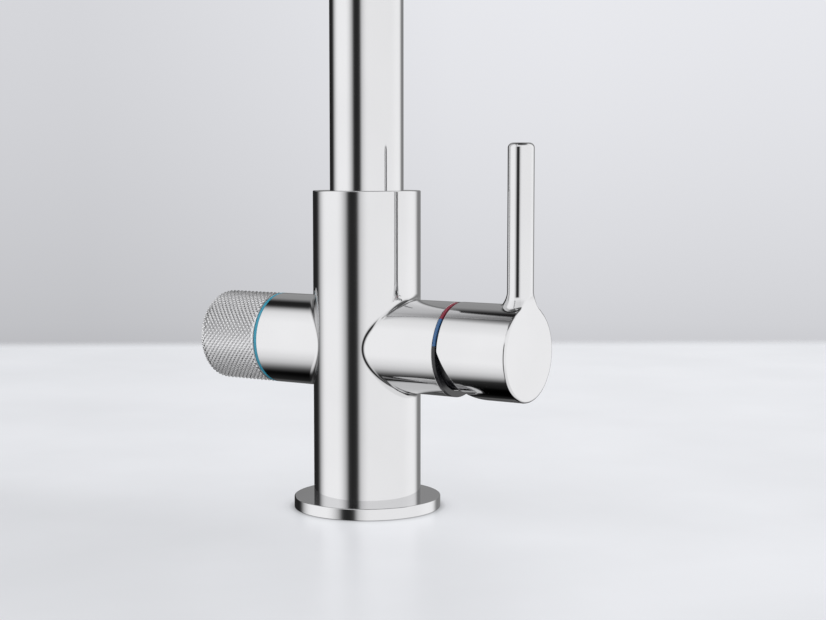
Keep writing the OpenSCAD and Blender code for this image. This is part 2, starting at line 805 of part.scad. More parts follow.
module spindle_clip() {
    color("gainsboro") left_arm(clip_u) difference() {
        tube(spindle_r + 1.6, spindle_r - 0.8, clip_t);
        translate([0, -1.5, -eps]) cube([spindle_d, 3, clip_t + 2 * eps]);
    }
}

module knob_insert() {
    color("white") difference() {
        left_arm(knob_room_end) tube(insert_r - fit, spindle_r + fit / 2, insert_len);
        knob_screw_hole();
    }
}

module knob_screw_hole() {
    translate([-knob_screw_u, 0, arm_z - knob_d / 2 - 1])
        cylinder(r = knob_screw_r, h = knob_d / 2 + 2 - spindle_r);
}

// Knurled knob, a deep cup over the valve head; its knurl is a surface finish
module filter_knob() {
    color("darkgray") difference() {
        left_arm(knob_u) rounded_top(knob_d / 2, knob_len, knob_round);
        left_arm(knob_u - eps) cylinder(r = knob_room_r, h = knob_room_end - knob_u + eps);
        left_arm(knob_u) cylinder(r = insert_r, h = insert_end - knob_u + seat);
        knob_screw_hole();
    }
}

module knob_grub_screw() {
    screw_bottom = arm_z - knob_d / 2 + 1.2;
    color("gainsboro") translate([-knob_screw_u, 0, screw_bottom]) difference() {
        cylinder(r = knob_screw_r - fit, h = arm_z - spindle_r - fit - screw_bottom);
        translate([0, 0, -eps]) cylinder(r = 1.1, h = 2.5, $fn = 6);
    }
}

// A solid along the spout's centre line: riser from a height, bend, and leg down to a height
module spout_path(r, from_z, to_z) {
    translate([0, 0, from_z]) cylinder(r = r, h = spring_z - from_z);
    translate([0, -bend_r, spring_z]) rotate([0, 90, 0]) rotate([0, 0, 90])
        rotate_extrude(angle = 180) translate([bend_r, 0]) rotate(90) circle(r = r);
    at_outlet(to_z) cylinder(r = r, h = spring_z - to_z);
}

module spout_tube() {
    color("silver") difference() {
        spout_path(spout_r, tube_foot, leg_end);
        spout_path(bore_r, tube_foot - eps, leg_end - eps);
    }
}

// Turned stem: seals and stop groove in the body, spigot in the tube's foot
module spout_stem() {
    color("darkgoldenrod") difference() {
        union() {
            translate([0, 0, stem_bottom]) cylinder(r = stem_r, h = shoulder_z - stem_bottom + eps);
            translate([0, 0, shoulder_z]) cylinder(r = spout_r, h = shoulder_t);
            translate([0, 0, tube_foot - eps]) cylinder(r = bore_r, h = stem_spigot);
        }
        translate([0, 0, stem_bottom - eps])
            cylinder(d = stem_bore_d, h = tube_foot + stem_spigot - stem_bottom + 2 * eps);
        at_stem_seals() translate([0, 0, -seal_groove_w / 2])
            tube(stem_r + 1, stem_r - stem_seal_t - fit, seal_groove_w);
        // The groove's ends stop the spout against the set screw
        translate([0, 0, stop_z]) rotate([0, 0, 90 - swivel - stop_margin])
            rotate_extrude(angle = 2 * (swivel + stop_margin))
                translate([stop_floor_r, -set_tip_r - pass])
                    square([stop_depth + 1, 2 * (set_tip_r + pass)]);
    }
}

module at_stem_seals() {
    for (z = [stem_bottom + 3, socket_floor - 3.2]) translate([0, 0, z]) children();
}

module stem_seals() {
    color("dimgray") at_stem_seals() round_ring(stem_r - stem_seal_t / 2, stem_seal_t / 2);
}

// Separate tube that carries filtered water through the spout to the capsule
module inner_tube() {
    color("lightblue") difference() {
        spout_path(inner_tube_d / 2, inner_tube_end, collar_z + 2);
        spout_path(inner_tube_bore / 2, inner_tube_end - eps, collar_z + 2 - eps);
    }
}

// Fitting in the spout's end: spigot, visible collar, thread for the sleeve, ports
module outlet_fitting() {
    color("silver") at_outlet(0) difference() {
        union() {
            translate([0, 0, leg_end - eps]) cylinder(r = bore_r, h = fitting_top - leg_end);
            translate([0, 0, collar_z]) bevelled(holder_r, collar_h, 1.2);
            translate([0, 0, fitting_end]) cylinder(r = holder_thread_r, h = holder_thread + eps);
        }
        translate([0, 0, collar_z + 2 - fit])
            cylinder(r = inner_tube_d / 2 + fit / 2, h = leg_len + collar_h);
        translate([0, 0, fitting_end - eps]) cylinder(r = neck_r + fit, h = holder_thread);
        translate([0, 0, fitting_end]) cylinder(d = inner_tube_bore, h = leg_len + collar_h);
        for (a = [30 : 60 : 330]) rotate([0, 0, a])
            translate([(neck_r + holder_thread_r) / 2, 0, fitting_end - eps])
                cylinder(r = mixed_port_r, h = fitting_top - fitting_end + 2 * eps);
    }
}

module capsule_sleeve() {
    color("silver") at_outlet(sleeve_end) difference() {
        cylinder(r = holder_r, h = sleeve_len);
        translate([0, 0, -eps]) cylinder(r = sleeve_inner_r, h = sleeve_len - holder_thread);
        cylinder(r = holder_thread_r + fit, h = sleeve_len + eps);
    }
}

// Ring at the outlet, which holds the aerator and closes the sleeve
module nozzle_ring() {
    color("darkgray") at_outlet(nozzle_end) difference() {
        union() {
            cylinder(r = holder_r, h = nozzle_h);
            cylinder(r = sleeve_inner_r - fit, h = nozzle_h + nozzle_spigot);
        }
        translate([0, 0, -eps]) cylinder(r = aerator_r + fit, h = aerator_h);
        cylinder(r = aerator_r - 4, h = nozzle_h + nozzle_spigot + eps);
    }
}

module aerator_housing() {
    color("gainsboro") at_outlet(nozzle_end) tube(aerator_r, aerator_r - aerator_wall, aerator_h - 1.5);
}

// Perforated insert that mixes air into the water
module aerator_insert() {
    hole_r = 0.9;
    color("white") at_outlet(nozzle_end + 0.8) difference() {
        cylinder(r = aerator_r - aerator_wall - fit, h = aerator_h - 3);
        for (ring = [1 : 3], i = [0 : 6 * ring - 1])
            rotate([0, 0, i * 60 / ring]) translate([ring * 2.6, 0, -eps])
                cylinder(r = hole_r, h = aerator_h, $fn = 24);
        translate([0, 0, -eps]) cylinder(r = hole_r, h = aerator_h, $fn = 24);
    }
}

module aerator_seal() {
    color("dimgray") at_outlet(nozzle_end + aerator_h - 1.4) tube(aerator_r - fit, aerator_r - 3, 1.3);
}

// Cup of the filter capsule
module capsule_shell() {
    color("white") at_outlet(capsule_end) difference() {
        cylinder(r = capsule_r, h = capsule_top - capsule_cap_h - capsule_end);
        translate([0, 0, capsule_wall])
            cylinder(r = capsule_r - capsule_wall, h = capsule_top - capsule_end);
        for (a = [0 : 60 : 300]) rotate([0, 0, a]) translate([capsule_r / 2, 0, -eps])
            cylinder(r = 1.6, h = capsule_wall + 2 * eps);
    }
}

module filter_media() {
    color("ghostwhite") at_outlet(capsule_end + capsule_wall + seat)
        cylinder(r = capsule_r - capsule_wall - seat,
                 h = capsule_top - capsule_cap_h - capsule_end - capsule_wall - 2 * seat - 2);
}

// Lid of the capsule, with the neck that plugs into the fitting
module capsule_cap() {
    lid_z = capsule_top - capsule_cap_h;
    color("darkcyan") at_outlet(lid_z) difference() {
        union() {
            cylinder(r = capsule_r, h = capsule_cap_h);
            translate([0, 0, -1.8]) cylinder(r = capsule_r - capsule_wall - fit, h = 1.8 + eps);
            cylinder(r = neck_r, h = capsule_cap_h + neck_len);
        }
        translate([0, 0, -2]) cylinder(d = inner_tube_bore, h = capsule_cap_h + neck_len + 3);
        translate([0, 0, capsule_cap_h + neck_len / 2])
            tube(neck_r + 1, neck_r - neck_seal_t - fit, neck_seal_t + 2 * fit);
    }
}

module neck_seal() {
    color("dimgray") at_outlet(capsule_top + neck_len / 2 + neck_seal_t / 2 + fit)
        round_ring(neck_r - neck_seal_t / 2, neck_seal_t / 2);
}

tap_body();
base_flange();
base_seal();
fixing_shank();
rubber_washer();
steel_washer();
fixing_nut();
clamp_screws();
spout_set_screw();
slip_ring();
inner_tube_seal();
cartridge_base();
port_seals();
fixed_disc();
cartridge_housing();
cartridge_nut();
dome_cover();
indicator_ring();
hot_mark();
cold_mark();
cartridge_rotor();
pivot_pin();
moving_disc();
disc_carrier();
cartridge_stem();
mixer_lever();
lever_grub_screw();
valve_body();
valve_seal();
valve_fixed_disc();
teal_ring();
valve_turning_disc();
valve_spindle();
spindle_seals();
spindle_clip();
knob_insert();
filter_knob();
knob_grub_screw();
spout_tube();
spout_stem();
stem_seals();
inner_tube();
outlet_fitting();
capsule_sleeve();
nozzle_ring();
aerator_housing();
aerator_insert();
aerator_seal();
capsule_shell();
filter_media();
capsule_cap();
neck_seal();
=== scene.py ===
import bpy
import bmesh
import json
import math
import numpy as np
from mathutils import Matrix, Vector

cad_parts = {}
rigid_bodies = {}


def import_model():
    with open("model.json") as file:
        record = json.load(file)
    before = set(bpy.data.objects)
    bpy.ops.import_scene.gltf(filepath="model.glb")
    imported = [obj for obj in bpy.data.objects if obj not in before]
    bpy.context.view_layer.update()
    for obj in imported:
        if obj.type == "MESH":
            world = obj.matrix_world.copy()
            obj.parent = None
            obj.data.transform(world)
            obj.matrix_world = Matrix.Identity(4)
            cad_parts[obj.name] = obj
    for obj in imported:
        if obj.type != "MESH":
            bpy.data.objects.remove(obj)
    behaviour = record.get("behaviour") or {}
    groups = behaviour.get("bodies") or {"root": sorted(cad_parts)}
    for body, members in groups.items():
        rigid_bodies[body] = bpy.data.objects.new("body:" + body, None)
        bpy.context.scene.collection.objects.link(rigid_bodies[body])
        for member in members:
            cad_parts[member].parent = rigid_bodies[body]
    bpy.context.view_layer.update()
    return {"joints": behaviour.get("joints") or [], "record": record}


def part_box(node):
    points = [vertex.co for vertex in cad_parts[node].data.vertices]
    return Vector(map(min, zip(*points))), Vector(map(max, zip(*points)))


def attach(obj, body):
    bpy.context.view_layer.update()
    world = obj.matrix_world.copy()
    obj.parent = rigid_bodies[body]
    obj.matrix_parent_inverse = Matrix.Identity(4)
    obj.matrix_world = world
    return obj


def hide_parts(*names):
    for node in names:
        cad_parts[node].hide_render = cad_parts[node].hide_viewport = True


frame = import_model()
mm = 0.001
scene = bpy.context.scene
scene.view_settings.view_transform = "Standard"


# Node trees

def addNode(tree, kind, **values):
    node = tree.nodes.new(kind)
    for name, value in values.items():
        setattr(node, name, value)
    return node


def feed(tree, socket, value):
    if isinstance(value, bpy.types.NodeSocket):
        tree.links.new(value, socket)
    else:
        socket.default_value = value


def mathNode(tree, operation, first, second=0.0, third=0.0, clamp=False):
    node = addNode(tree, "ShaderNodeMath", operation=operation, use_clamp=clamp)
    feed(tree, node.inputs[0], first)
    feed(tree, node.inputs[1], second)
    feed(tree, node.inputs[2], third)
    return node.outputs[0]


def rangeNode(tree, value, fromLow, fromHigh, toLow, toHigh, smooth=False):
    node = addNode(tree, "ShaderNodeMapRange")
    node.interpolation_type = "SMOOTHSTEP" if smooth else "LINEAR"
    feed(tree, node.inputs["Value"], value)
    node.inputs["From Min"].default_value = fromLow
    node.inputs["From Max"].default_value = fromHigh
    node.inputs["To Min"].default_value = toLow
    node.inputs["To Max"].default_value = toHigh
    return node.outputs["Result"]


def fadeNode(tree, value, start, end):
    return rangeNode(tree, value, start, end, 0.0, 1.0, smooth=True)


def dotNode(tree, vector, direction):
    node = addNode(tree, "ShaderNodeVectorMath", operation="DOT_PRODUCT")
    feed(tree, node.inputs[0], vector)
    node.inputs[1].default_value = direction
    return node.outputs["Value"]


def rampNode(tree, value, stops):
    node = addNode(tree, "ShaderNodeValToRGB")
    elements = node.color_ramp.elements
    while len(elements) < len(stops):
        elements.new(0.5)
    for element, (position, colour) in zip(elements, stops):
        element.position = position
        element.color = (*colour, 1.0)
    feed(tree, node.inputs["Fac"], value)
    return node.outputs["Color"]


def mixNode(tree, share, first, second, blend="MIX"):
    node = addNode(tree, "ShaderNodeMix", data_type="RGBA", blend_type=blend)
    feed(tree, node.inputs[0], share)
    feed(tree, node.inputs[6], first)
    feed(tree, node.inputs[7], second)
    return node.outputs[2]


# A level seen on the screen, 0 to 255, as light
def fromScreen(level, tint):
    share = level / 255.0
    light = ((share + 0.055) / 1.055) ** 2.4
    return tuple(light * part for part in tint)


# Camera

camera = bpy.data.objects.new("camera", bpy.data.cameras.new("camera"))
scene.collection.objects.link(camera)
camera.data.lens = 69.48
camera.data.sensor_width = 36.0
camera.location = Vector((346.55, -498.62, 128.62)) * mm
lookAlong = Vector((-0.54467, 0.83413, -0.08689))
camera.rotation_mode = "QUATERNION"
camera.rotation_quaternion = lookAlong.to_track_quat("-Z", "Y")
scene.camera = camera
print("camera placed")


# Studio: what the chrome mirrors, the pale wall behind, and the worktop

towardsCamera = (0.571, -0.821, 0.0)
acrossPicture = (0.821, 0.571, 0.0)
coolTint = (0.982, 0.990, 1.034)
metalTint = (1.0, 1.0, 1.01)
mirrorLoss = 0.70
studioLook = dict(openLevel=222, highBackLevel=136, lowBackLevel=72, lowFrontShare=0.86,
                  frontRight=(0.905, -0.4255, 0.0), alongWall=(0.8373, 0.5467, 0.0))


def mirrored(level):
    return tuple(part / mirrorLoss for part in fromScreen(level, metalTint))


def turnStops(stops, first, span):
    return [((degrees - first) / span, mirrored(level)) for degrees, level in stops]


# What stands around the tap, by its turn from the camera in degrees, as the body mirrors it
def roomAround(tree, height, around):
    leftSide = rampNode(tree, rangeNode(tree, around, -math.pi, 0.0, 0.0, 1.0), turnStops((
        (-180, 124), (-176, 112), (-173, 42), (-160, 34), (-138, 33), (-131, 50), (-126, 98), (-121, 150),
        (-117, 179), (-113, 200), (-106, 223), (-101, 230), (-95, 233), (-67, 233), (-62, 228),
        (-57, 218), (-52, 199), (-47, 170), (-43, 125), (-40, 72), (-37, 44), (-32, 36), (-26, 41),
        (-23, 54), (-21, 78), (-19, 120), (-17, 156), (-13, 196), (-8, 212), (-2, 223), (0, 225)),
        -180.0, 180.0))
    rightSide = rampNode(tree, rangeNode(tree, around, 0.0, math.pi, 0.0, 1.0), turnStops((
        (0, 225), (4, 227), (80, 227), (90, 229), (102, 232), (110, 233), (120, 230), (126, 218),
        (132, 180), (138, 130), (145, 116), (165, 122), (180, 124)), 0.0, 180.0))
    # The dark strip left of the camera ends above what the body and the riser mirror of it
    beside = mathNode(tree, "MULTIPLY", fadeNode(tree, around, math.radians(-66), math.radians(-54)),
                      fadeNode(tree, around, math.radians(-4), math.radians(-12)))
    above = fadeNode(tree, height, 0.36, 0.54)
    leftSide = mixNode(tree, mathNode(tree, "MULTIPLY", beside, above), leftSide,
                       (*mirrored(studioLook["openLevel"]), 1.0))
    return mixNode(tree, mathNode(tree, "GREATER_THAN", around, 0.0), leftSide, rightSide)


# The share of it that is left at each height: ceiling and floor are dark, but for the floor in front
def roomShare(tree, direction, height):
    shares = rampNode(tree, rangeNode(tree, height, -1.0, 1.0, 0.0, 1.0), [
        ((math.sin(math.radians(degrees)) + 1.0) / 2.0, (share, share, share)) for degrees, share in (
            (-90, 0.01), (-58, 0.015), (-54, 0.03), (-52, 0.11), (-50, 0.22), (-48, 0.34), (-46, 0.46),
            (-43, 0.61), (-40, 0.69), (-36, 0.79), (-32, 0.85), (-28, 0.90), (-24, 0.95), (-17, 1.0),
            (35, 1.0), (40, 0.965), (46, 0.91), (50, 0.88), (56, 0.80), (60, 0.30), (65, 0.14),
            (90, 0.10))])
    low = fadeNode(tree, height, -0.2, -0.55)
    front = fadeNode(tree, dotNode(tree, direction, studioLook["frontRight"]), -0.05, 0.25)
    share = studioLook["lowFrontShare"]
    return mixNode(tree, mathNode(tree, "MULTIPLY", low, front), shares, (share, share, share, 1.0))


# Two dim places behind the tap and to its left, one high and one low
def dimPlaces(tree, direction, height, room):
    over = mathNode(tree, "ARCTAN2", height, dotNode(tree, direction, (0.0, -1.0, 0.0)))
    highBack = mathNode(tree, "MULTIPLY", fadeNode(tree, over, math.radians(108), math.radians(130)),
                        fadeNode(tree, height, 0.17, 0.33))
    lowBack = mathNode(tree, "MULTIPLY", fadeNode(tree, over, math.radians(-128), math.radians(-142)),
                       fadeNode(tree, height, -0.21, -0.37))
    leftward = fadeNode(tree, dotNode(tree, direction, (1.0, 0.0, 0.0)), 0.05, -0.2)
    room = mixNode(tree, mathNode(tree, "MULTIPLY", highBack, leftward), room,
                   (*mirrored(studioLook["highBackLevel"]), 1.0))
    return mixNode(tree, mathNode(tree, "MULTIPLY", lowBack, leftward), room,
                   (*mirrored(studioLook["lowBackLevel"]), 1.0))


# The wall behind the worktop, which only the camera sees
def paleWall(tree, direction, height):
    wall = rampNode(tree, rangeNode(tree, height, -0.11, 0.11, 0.0, 1.0), [
        (share, fromScreen(value, coolTint)) for share, value in (
            (0.0, 204), (0.035, 207), (0.077, 211), (0.16, 215), (0.30, 220), (0.475, 225), (0.644, 229),
            (0.81, 232), (0.96, 234), (1.0, 234))])
    sideways = dotNode(tree, direction, studioLook["alongWall"])
    shade = rampNode(tree, rangeNode(tree, sideways, -0.2, 0.2, 0.0, 1.0), [
        (share, (level, level, level)) for share, level in (
            (0.0, 0.83), (0.09, 0.85), (0.29, 0.905), (0.56, 0.985), (0.75, 1.0), (1.0, 0.99))])
    return mixNode(tree, 1.0, wall, shade, "MULTIPLY")


def makeWorld():
    world = bpy.data.worlds.new("studio")
    scene.world = world
    world.use_nodes = True
    tree = world.node_tree
    tree.nodes.clear()
    direction = addNode(tree, "ShaderNodeTexCoord").outputs["Generated"]
    height = dotNode(tree, direction, (0.0, 0.0, 1.0))
    around = mathNode(tree, "ARCTAN2", dotNode(tree, direction, acrossPicture),
                      dotNode(tree, direction, towardsCamera))
    room = mixNode(tree, 1.0, roomAround(tree, height, around), roomShare(tree, direction, height),
                   "MULTIPLY")
    room = dimPlaces(tree, direction, height, room)
    seen = addNode(tree, "ShaderNodeLightPath").outputs["Is Camera Ray"]
    background = addNode(tree, "ShaderNodeBackground")
    feed(tree, background.inputs["Color"], mixNode(tree, seen, room, paleWall(tree, direction, height)))
    output = addNode(tree, "ShaderNodeOutputWorld")
    tree.links.new(background.outputs[0], output.inputs["Surface"])


def makeLamp():
    lamp = bpy.data.objects.new("overhead", bpy.data.lights.new("overhead", "AREA"))
    scene.collection.objects.link(lamp)
    lamp.data.shape = "DISK"
    lamp.data.size = 7.0
    lamp.data.energy = 116.0
    lamp.location = (0.0, 0.0, 2.6)
    lamp.visible_glossy = False


worktopShape = dict(hole=17.2, rings=(40.0, 120.0), radius=800.0, thickness=30.0, sides=96)
worktopLook = dict(light=(0.397, 0.403, 0.419), dark=(0.378, 0.384, 0.399), patchScale=9.0, glow=1.26,
                   paintShare=0.28, roughness=0.3, specular=0.16, paintedShadeAlong=(0.1605, -1.1065, 0.0))


def makeWorktopMaterial():
    material = bpy.data.materials.new("worktop")
    material.use_nodes = True
    tree = material.node_tree
    shader = tree.nodes["Principled BSDF"]
    place = addNode(tree, "ShaderNodeTexCoord").outputs["Object"]
    patches = addNode(tree, "ShaderNodeTexNoise")
    patches.inputs["Scale"].default_value = worktopLook["patchScale"]
    patches.inputs["Detail"].default_value = 4.0
    tree.links.new(place, patches.inputs["Vector"])
    tone = rampNode(tree, patches.outputs["Fac"],
                    ((0.35, worktopLook["dark"]), (0.65, worktopLook["light"])))
    # Painted shade: it is a little darker near the camera, most of all on the left
    nearer = fadeNode(tree, dotNode(tree, place, worktopLook["paintedShadeAlong"]), 0.0, 0.08)
    leftward = rangeNode(tree, dotNode(tree, place, acrossPicture), 0.08, 0.01, 0.03, 0.117, smooth=True)
    tone = mixNode(tree, mathNode(tree, "MULTIPLY", nearer, leftward), tone, (0.0, 0.0, 0.0, 1.0))
    # Painted shade where the flange stands, darkest at the flange's edge, by the distance from the middle
    radius = addNode(tree, "ShaderNodeVectorMath", operation="LENGTH")
    tree.links.new(place, radius.inputs[0])
    paintedFlangeShade = rampNode(tree, rangeNode(tree, radius.outputs["Value"], 0.028, 0.048, 0.0, 1.0), [
        (share, (level, level, level)) for share, level in (
            (0.0, 0.50), (0.05, 0.70), (0.12, 0.90), (0.25, 0.98), (0.4, 1.0))])
    tone = mixNode(tree, 1.0, tone, paintedFlangeShade, "MULTIPLY")
    feed(tree, shader.inputs["Base Color"],
         mixNode(tree, worktopLook["paintShare"], tone, (0.0, 0.0, 0.0, 1.0)))
    feed(tree, shader.inputs["Emission Color"], tone)
    shader.inputs["Emission Strength"].default_value = worktopLook["glow"]
    shader.inputs["Roughness"].default_value = worktopLook["roughness"]
    shader.inputs["Specular IOR Level"].default_value = worktopLook["specular"]
    # It fades into the wall at its far edge
    beyond = fadeNode(tree, dotNode(tree, place, towardsCamera), -0.549, -0.607)
    fade = mathNode(tree, "MAXIMUM", beyond, fadeNode(tree, radius.outputs["Value"], 0.70, 0.79))
    clear = addNode(tree, "ShaderNodeBsdfTransparent")
    mixed = addNode(tree, "ShaderNodeMixShader")
    feed(tree, mixed.inputs[0], fade)
    tree.links.new(shader.outputs[0], mixed.inputs[1])
    tree.links.new(clear.outputs[0], mixed.inputs[2])
    tree.links.new(mixed.outputs[0], tree.nodes["Material Output"].inputs["Surface"])
    return material


def makeWorktop():
    hole = worktopShape["hole"]
    edge = worktopShape["radius"]
    under = -worktopShape["thickness"]
    rings = [(hole, 0.0), *((ring, 0.0) for ring in worktopShape["rings"]), (edge, 0.0), (edge, under),
             (hole, under)]
    sides = worktopShape["sides"]
    points = []
    for radius, z in rings:
        for step in range(sides):
            angle = 2.0 * math.pi * step / sides
            points.append((radius * mm * math.cos(angle), radius * mm * math.sin(angle), z * mm))
    faces = []
    for ring in range(len(rings)):
        after = (ring + 1) % len(rings)
        for step in range(sides):
            beyond = (step + 1) % sides
            faces.append((ring * sides + step, ring * sides + beyond, after * sides + beyond,
                          after * sides + step))
    mesh = bpy.data.meshes.new("worktop")
    mesh.from_pydata(points, [], faces)
    mesh.materials.append(makeWorktopMaterial())
    worktop = bpy.data.objects.new("worktop", mesh)
    scene.collection.objects.link(worktop)
    worktop.visible_glossy = False


makeWorld()
makeLamp()
makeWorktop()
print("studio made")


# Materials: one dictionary per finish of the record

def makeMaterial(name, finish):
    material = bpy.data.materials.new(name)
    material.use_nodes = True
    tree = material.node_tree
    shader = tree.nodes["Principled BSDF"]
    place = addNode(tree, "ShaderNodeTexCoord").outputs["Object"]
    patches = addNode(tree, "ShaderNodeTexNoise")
    patches.inputs["Scale"].default_value = finish["patchScale"]
    patches.inputs["Detail"].default_value = 4.0
    tree.links.new(place, patches.inputs["Vector"])
    grain = addNode(tree, "ShaderNodeTexNoise")
    grain.inputs["Scale"].default_value = finish["grainScale"]
    grain.inputs["Detail"].default_value = 3.0
    tree.links.new(place, grain.inputs["Vector"])
    tone = rampNode(tree, patches.outputs["Fac"], ((0.3, finish["dark"]), (0.7, finish["light"])))
    feed(tree, shader.inputs["Base Color"], tone)
    low, high = finish["roughness"]
    feed(tree, shader.inputs["Roughness"], rangeNode(tree, grain.outputs["Fac"], 0.3, 0.7, low, high))
    shader.inputs["Metallic"].default_value = finish.get("metallic", 0.0)
    shader.inputs["Specular IOR Level"].default_value = finish.get("specular", 0.5)
    if "relief" in finish:
        bump = addNode(tree, "ShaderNodeBump")
        bump.inputs["Strength"].default_value = finish["relief"]
        bump.inputs["Distance"].default_value = finish.get("reliefDepth", 0.05) * mm
        tree.links.new(grain.outputs["Fac"], bump.inputs["Height"])
        tree.links.new(bump.outputs["Normal"], shader.inputs["Normal"])
    return material


finishes = {
    "chrome": dict(light=(0.715, 0.715, 0.72), dark=(0.685, 0.685, 0.69), roughness=(0.05, 0.08),
                   metallic=1.0, patchScale=28.0, grainScale=90.0),
    "knurled_metal": dict(light=(0.86, 0.86, 0.865), dark=(0.79, 0.79, 0.80), roughness=(0.28, 0.36),
                          metallic=0.95, patchScale=60.0, grainScale=900.0, relief=0.15),
    "brass": dict(light=(0.86, 0.66, 0.36), dark=(0.76, 0.55, 0.27), roughness=(0.22, 0.36),
                  metallic=1.0, patchScale=70.0, grainScale=1500.0, relief=0.2),
    "steel": dict(light=(0.66, 0.66, 0.67), dark=(0.56, 0.56, 0.58), roughness=(0.22, 0.34),
                  metallic=1.0, patchScale=90.0, grainScale=1200.0, relief=0.15),
    "rubber": dict(light=(0.030, 0.030, 0.032), dark=(0.018, 0.018, 0.020), roughness=(0.6, 0.75),
                   specular=0.4, patchScale=120.0, grainScale=2500.0, relief=0.4),
    "white_plastic": dict(light=(0.80, 0.80, 0.78), dark=(0.74, 0.74, 0.72), roughness=(0.34, 0.44),
                          patchScale=80.0, grainScale=1800.0, relief=0.15),
    "black_plastic": dict(light=(0.022, 0.022, 0.024), dark=(0.014, 0.014, 0.016), roughness=(0.30, 0.42),
                          patchScale=90.0, grainScale=1800.0, relief=0.15),
    "glossy_black": dict(light=(0.011, 0.011, 0.013), dark=(0.007, 0.007, 0.009), roughness=(0.12, 0.20),
                         specular=0.55, patchScale=90.0, grainScale=1800.0),
    "teal_plastic": dict(light=(0.030, 0.30, 0.42), dark=(0.022, 0.25, 0.36), roughness=(0.30, 0.40),
                         patchScale=90.0, grainScale=1800.0, relief=0.1),
    "red_mark": dict(light=(0.22, 0.020, 0.040), dark=(0.18, 0.015, 0.032), roughness=(0.30, 0.40),
                     patchScale=90.0, grainScale=1800.0, relief=0.1),
    "blue_mark": dict(light=(0.032, 0.115, 0.27), dark=(0.025, 0.095, 0.23), roughness=(0.30, 0.40),
                      patchScale=90.0, grainScale=1800.0, relief=0.1),
    "ceramic": dict(light=(0.86, 0.85, 0.82), dark=(0.80, 0.79, 0.76), roughness=(0.12, 0.2),
                    patchScale=90.0, grainScale=1500.0, relief=0.05),
    "filter_media": dict(light=(0.10, 0.10, 0.10), dark=(0.03, 0.03, 0.03), roughness=(0.8, 0.95),
                         patchScale=700.0, grainScale=1800.0, relief=0.8, reliefDepth=0.3),
}
materials = {name: makeMaterial(name, finish) for name, finish in finishes.items()}

# The filter holder isn't mirrored in the riser, nor anything that hangs below the worktop
unmirrored = frame["record"]["behaviour"]["bodies"]["filter_holder"]
mirroredFrom = -0.005
for row in frame["record"]["subparts"]:
    solid = bpy.data.objects[row["node"]]
    solid.data.materials.clear()
    solid.data.materials.append(materials["glossy_black" if row["node"] == "dome_cover"
                                          else row["material_slot"]])
    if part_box(row["node"])[0][2] < mirroredFrom or row["node"] in unmirrored:
        solid.visible_glossy = False
print("materials made")


# Mesh building: grids of points with their own normals, in millimetres

def unit(vectors):
    return vectors / np.linalg.norm(vectors, axis=-1, keepdims=True)


def gridFaces(points, normals):
    rows, columns = points.shape[:2]
    index = np.arange(rows * columns).reshape(rows, columns)
    quads = np.stack([index[:-1, :-1], index[1:, :-1], index[1:, 1:], index[:-1, 1:]], axis=-1)
    quads = quads.reshape(-1, 4)
    return points.reshape(-1, 3), quads, normals.reshape(-1, 3)[quads]


def flatTriangles(corners):
    normals = np.cross(corners[:, 1] - corners[:, 0], corners[:, 2] - corners[:, 0])
    normals = unit(np.repeat(normals[:, None], 3, axis=1))
    return corners.reshape(-1, 3), np.arange(len(corners) * 3).reshape(-1, 3), normals


weldReach = 0.003


def makePiece(name, skin, body, slot, replaced, material=None):
    points = []
    faces = []
    cornerNormals = []
    start = 0
    for part in skin:
        spots, corners, normals = part if len(part) == 3 else gridFaces(*part)
        ends = spots[corners]
        facing = np.cross(ends[:, 2] - ends[:, 0], ends[:, -1] - ends[:, 1])
        turned = np.einsum("ij,ij->i", facing, normals.sum(axis=1)) < 0
        corners = np.where(turned[:, None], corners[:, ::-1], corners)
        normals = np.where(turned[:, None, None], normals[:, ::-1], normals)
        points.append(spots * mm)
        faces.extend((corners + start).tolist())
        cornerNormals.append(normals.reshape(-1, 3))
        start += len(spots)
    mesh = bpy.data.meshes.new(name)
    mesh.from_pydata(np.concatenate(points), [], faces)
    kept = mesh.attributes.new("cornerNormal", "FLOAT_VECTOR", "CORNER")
    kept.data.foreach_set("vector", np.concatenate(cornerNormals).ravel())
    shape = bmesh.new()
    shape.from_mesh(mesh)
    bmesh.ops.remove_doubles(shape, verts=shape.verts, dist=weldReach * mm)
    shape.to_mesh(mesh)
    shape.free()
    held = np.empty(len(mesh.loops) * 3)
    mesh.attributes["cornerNormal"].data.foreach_get("vector", held)
    mesh.attributes.remove(mesh.attributes["cornerNormal"])
    mesh.polygons.foreach_set("use_smooth", np.ones(len(mesh.polygons), dtype=bool))
    mesh.normals_split_custom_set(held.reshape(-1, 3))
    mesh.materials.append(material or materials[slot])
    piece = bpy.data.objects.new(name, mesh)
    scene.collection.objects.link(piece)
    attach(piece, body)
    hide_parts(replaced)
    return piece


